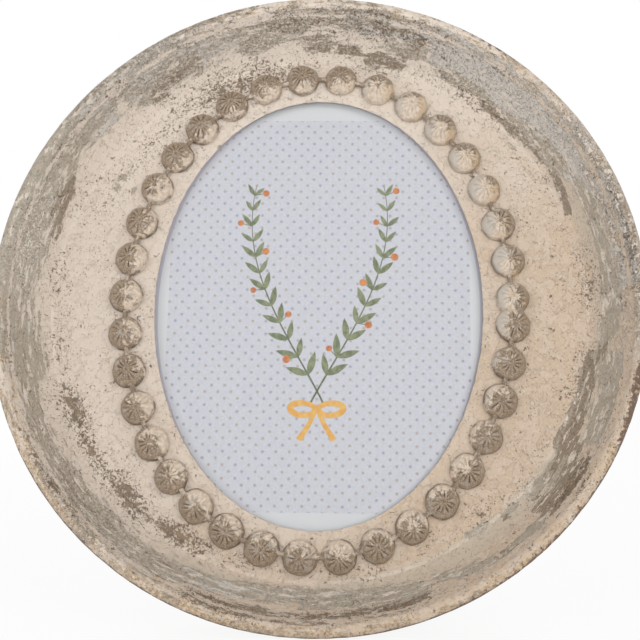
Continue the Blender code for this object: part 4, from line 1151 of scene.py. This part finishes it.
def make_easel(plating, board):
    """Easel: hinge leaves, pin, rivets and strut."""
    pin = Matrix.Translation((0.0, HINGE_DEPTH, HINGE_HEIGHT))
    opened = pin @ Matrix.Rotation(STRUT_ANGLE, 4, "X")
    half, middle, gap, corner = HINGE_HALF_WIDTH, HINGE_MIDDLE_HALF, LEAF_NOTCH, HINGE_CORNER
    side, reach = middle + CLEARANCE, LEAF_LENGTH - corner
    outline = [(side, 0.0), (half, 0.0)] + arc(half - corner, reach, corner, 0.0)
    outline += arc(corner - half, reach, corner, QUARTER)
    outline += [(-half, 0.0), (-side, 0.0), (-side, gap), (side, gap)]
    solid_piece("board_leaf", plating, "frame", "hinge_board_leaf",
                (slab, outline, -KNUCKLE_RADIUS, HINGE_SHEET - KNUCKLE_RADIUS, SHEET_CHAMFER),
                (tube_across, KNUCKLE_RADIUS, KNUCKLE_BORE, side, half),
                (tube_across, KNUCKLE_RADIUS, KNUCKLE_BORE, -half, -side), axes=pin)

    outline = [(middle, -gap), (middle, 0.0), (-middle, 0.0), (-middle, -gap), (-half, -gap)]
    outline += arc(corner - half, -reach, corner, 2 * QUARTER)
    outline += arc(half - corner, -reach, corner, 3 * QUARTER) + [(half, -gap)]
    solid_piece("strut_leaf", plating, "strut", "hinge_strut_leaf",
                (slab, outline, KNUCKLE_RADIUS - HINGE_SHEET, KNUCKLE_RADIUS, SHEET_CHAMFER),
                (tube_across, KNUCKLE_RADIUS, KNUCKLE_BORE, -middle, middle), (stop_tongue,), axes=opened)

    end = half + CLEARANCE
    pin_profile = ((1.3, -end - 0.8), (1.8, -end - 0.5), (1.8, -end), (1.0, -end), (1.0, end), (1.8, end),
                   (1.8, end + 0.5), (1.3, end + 0.8))
    solid_piece("pin_rod", plating, "frame", "hinge_pin",
                (turned, pin_profile, pin @ Matrix.Rotation(QUARTER, 4, "Y")))
    rise = (gap + LEAF_LENGTH) / 2
    for number, x in enumerate((-LEAF_RIVET_SIDE, LEAF_RIVET_SIDE), start=1):
        solid_piece("leaf_rivet_%d" % number, plating, "frame", "board_rivet_%d" % number,
                    (turned, RIVET, facing_back(x, RIVET_DEPTH, HINGE_HEIGHT + rise)))
        solid_piece("leg_rivet_%d" % number, plating, "strut", "strut_rivet_%d" % number,
                    (turned, RIVET, facing_back(x, KNUCKLE_RADIUS + CLEARANCE, -rise)), axes=opened)

    tilt = STRUT_ANGLE - LEAN
    pin_rise = CREST_CENTRE[2] + HINGE_HEIGHT * math.cos(LEAN) - HINGE_DEPTH * math.sin(LEAN)
    foot = -pin_rise / math.cos(tilt)
    top_edge = -KNUCKLE_RADIUS - CLEARANCE
    aside = STRUT_HALF_FOOT - STRUT_CORNER
    outline = [(STRUT_HALF_HEAD, top_edge), (-STRUT_HALF_HEAD, top_edge)]
    outline += arc(-aside, foot + STRUT_CORNER, STRUT_CORNER, 2 * QUARTER)
    outline += arc(aside, foot + STRUT_CORNER, STRUT_CORNER, 3 * QUARTER)
    solid_piece("leg", board, "strut", "easel_strut", (sloped_leg, outline, foot, tilt), axes=opened)


def make_hanging_ring(plating):
    """Hanging ring, its strap and the strap's rivet."""
    at_ring = Matrix.Translation((0.0, HANGER_DEPTH, HANGER_HEIGHT))
    half = RING_HALF_WIDTH
    right = arc(half - RING_CORNER, -RING_CORNER, RING_CORNER, QUARTER, -QUARTER, 8)
    line = right + arc(0.0, half - RING_DROP, half, 0.0, -math.pi, 32) + [(-x, z) for x, z in reversed(right)]
    loops = []
    for i, (x, z) in enumerate(line):
        before, after = line[i - 1], line[(i + 1) % len(line)]
        along = Vector((after[0] - before[0], 0.0, after[1] - before[1])).normalized()
        across = Vector((-along.z, 0.0, along.x))
        loops.append([Vector((x, 0.0, z)) + across * math.cos(turn) + Vector((0.0, math.sin(turn), 0.0))
                      for turn in full_turn(16)])
    solid_piece("ring_wire", plating, "ring", "hanger_ring", (join_loops, loops, True),
                axes=at_ring @ Matrix.Rotation(LEAN, 4, "X"))
    half, corner = STRAP_HALF_WIDTH, STRAP_CORNER
    outline = [(-half, 0.0), (half, 0.0)] + arc(half - corner, STRAP_LENGTH - corner, corner, 0.0)
    outline += arc(corner - half, STRAP_LENGTH - corner, corner, QUARTER)
    solid_piece("ring_strap", plating, "frame", "hanger_strap",
                (slab, outline, -STRAP_EYE_RADIUS, HINGE_SHEET - STRAP_EYE_RADIUS, SHEET_CHAMFER),
                (tube_across, STRAP_EYE_RADIUS, STRAP_EYE_BORE, -half, half), axes=at_ring)
    height = HANGER_HEIGHT + (STRAP_EYE_RADIUS + STRAP_LENGTH) / 2
    solid_piece("strap_rivet", plating, "frame", "hanger_rivet",
                (turned, RIVET, facing_back(0.0, RIVET_DEPTH, height)))


# Stage: floor, light and camera
FLOOR_RADIUS = 1.6
FLOOR_DROP = 0.0002
FLOOR_GLOW = 0.9
AMBIENT = 0.58
LAMP_AIM = Vector((0.0, 0.0, 0.118))
# Name, place, width, power, tint, and whether glass and metal mirror the lamp
LAMPS = (
    ("key_right", (0.78, -1.05, 0.74), 0.7, 4.3, (1.0, 0.985, 0.96), False),
    ("front_soft", (0.30, -1.45, 0.10), 0.6, 4.3, (1.0, 0.99, 0.975), True),
    ("fill_left", (-0.85, -1.0, 0.45), 0.9, 3.7, (0.96, 0.98, 1.0), False),
    ("back_soft", (-0.4, 1.1, 0.9), 0.9, 6.0, (1.0, 1.0, 1.0), True),
)


def make_floor():
    """Pale floor that takes soft shadows and looks white to the camera, in glass and in metal."""
    s = Surface("floor_pale", roughness=0.8)
    s.shader.inputs["Base Color"].default_value = (0.9, 0.9, 0.9, 1.0)
    glow = s.add("ShaderNodeEmission", {"Color": (1.0, 1.0, 1.0, 1.0), "Strength": 1.0})
    s.blend(s.times(s.rays("Camera", "Glossy", "Transmission"), FLOOR_GLOW), s.shader, glow)
    builder = bmesh.new()
    bmesh.ops.create_circle(builder, cap_ends=True, segments=96, radius=FLOOR_RADIUS)
    floor = linked("floor", poured("floor", builder, s.material))
    floor.location = (0.0, 0.0, -FLOOR_DROP)


def make_light():
    """Even white world, brighter to the camera and through glass, and four soft lamps."""
    world = bpy.data.worlds.new("studio")
    bpy.context.scene.world = world
    world.use_nodes = True
    sky = Graph(world.node_tree)
    background = sky.tree.nodes["Background"].inputs
    strength = sky.add("ShaderNodeMapRange", {"Value": sky.rays("Camera", "Transmission"), "To Min": AMBIENT,
                                              "To Max": 1.0})
    sky.set(background["Strength"], strength.outputs[0])
    sky.set(background["Color"], (1.0, 1.0, 1.0, 1.0))
    for name, place, size, power, tint, mirrored in LAMPS:
        lamp = bpy.data.lights.new(name, "AREA")
        lamp.shape = "DISK"
        lamp.size = size
        lamp.energy = power
        lamp.color = tint
        holder = linked(name, lamp)
        holder.location = place
        holder.visible_glossy = mirrored
        holder.visible_transmission = mirrored
        holder.rotation_euler = (LAMP_AIM - Vector(place)).to_track_quat("-Z", "Y").to_euler()


def make_camera():
    """Camera worked out from the photo's outlines; its lens from a focal length in pixels."""
    camera = bpy.data.cameras.new("camera")
    camera.sensor_width = 36.0
    camera.lens = camera.sensor_width * 1099.6 / 640.0
    camera.clip_start = 0.01
    camera.clip_end = 20.0
    holder = linked("camera", camera)
    outline_centre = Vector(CREST_CENTRE) + Vector((0.0, math.cos(LEAN), -math.sin(LEAN))) * BEAD_RADIUS
    place = (outline_centre + Vector((16.6, -404.6, -7.1))) * MM
    forward = Vector((-0.0377, 0.9993, -0.0030)).normalized()
    down = Vector((0.0065, -0.0028, -1.0))
    right = down.cross(forward).normalized()
    up = right.cross(forward).normalized()
    view_axes = Matrix((right, up, -forward)).transposed()
    holder.matrix_world = Matrix.Translation(place) @ view_axes.to_4x4()
    bpy.context.scene.camera = holder


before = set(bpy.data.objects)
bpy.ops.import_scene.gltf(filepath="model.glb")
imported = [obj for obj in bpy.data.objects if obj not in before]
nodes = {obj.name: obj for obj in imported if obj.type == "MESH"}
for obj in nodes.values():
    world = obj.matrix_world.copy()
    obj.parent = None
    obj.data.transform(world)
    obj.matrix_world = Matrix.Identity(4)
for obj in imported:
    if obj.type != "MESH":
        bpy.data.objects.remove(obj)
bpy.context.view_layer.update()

make_shell()
make_rosettes()
make_print()

steel = (rolled_steel(), "bare_steel")
board = (black_board(), "black_board")
plating = (plated_steel(), "plated_steel")
make_back_sheets(steel, board)
make_clips(plating)
make_easel(plating, board)
make_hanging_ring(plating)

for name, paint in (("glass_pane", clear_glass), ("photo_print", printed_card), ("filler_card", grey_card)):
    material = paint()
    for place in nodes[name].material_slots:
        place.material = material

make_floor()
make_light()
make_camera()
bpy.context.scene.view_settings.view_transform = "Standard"
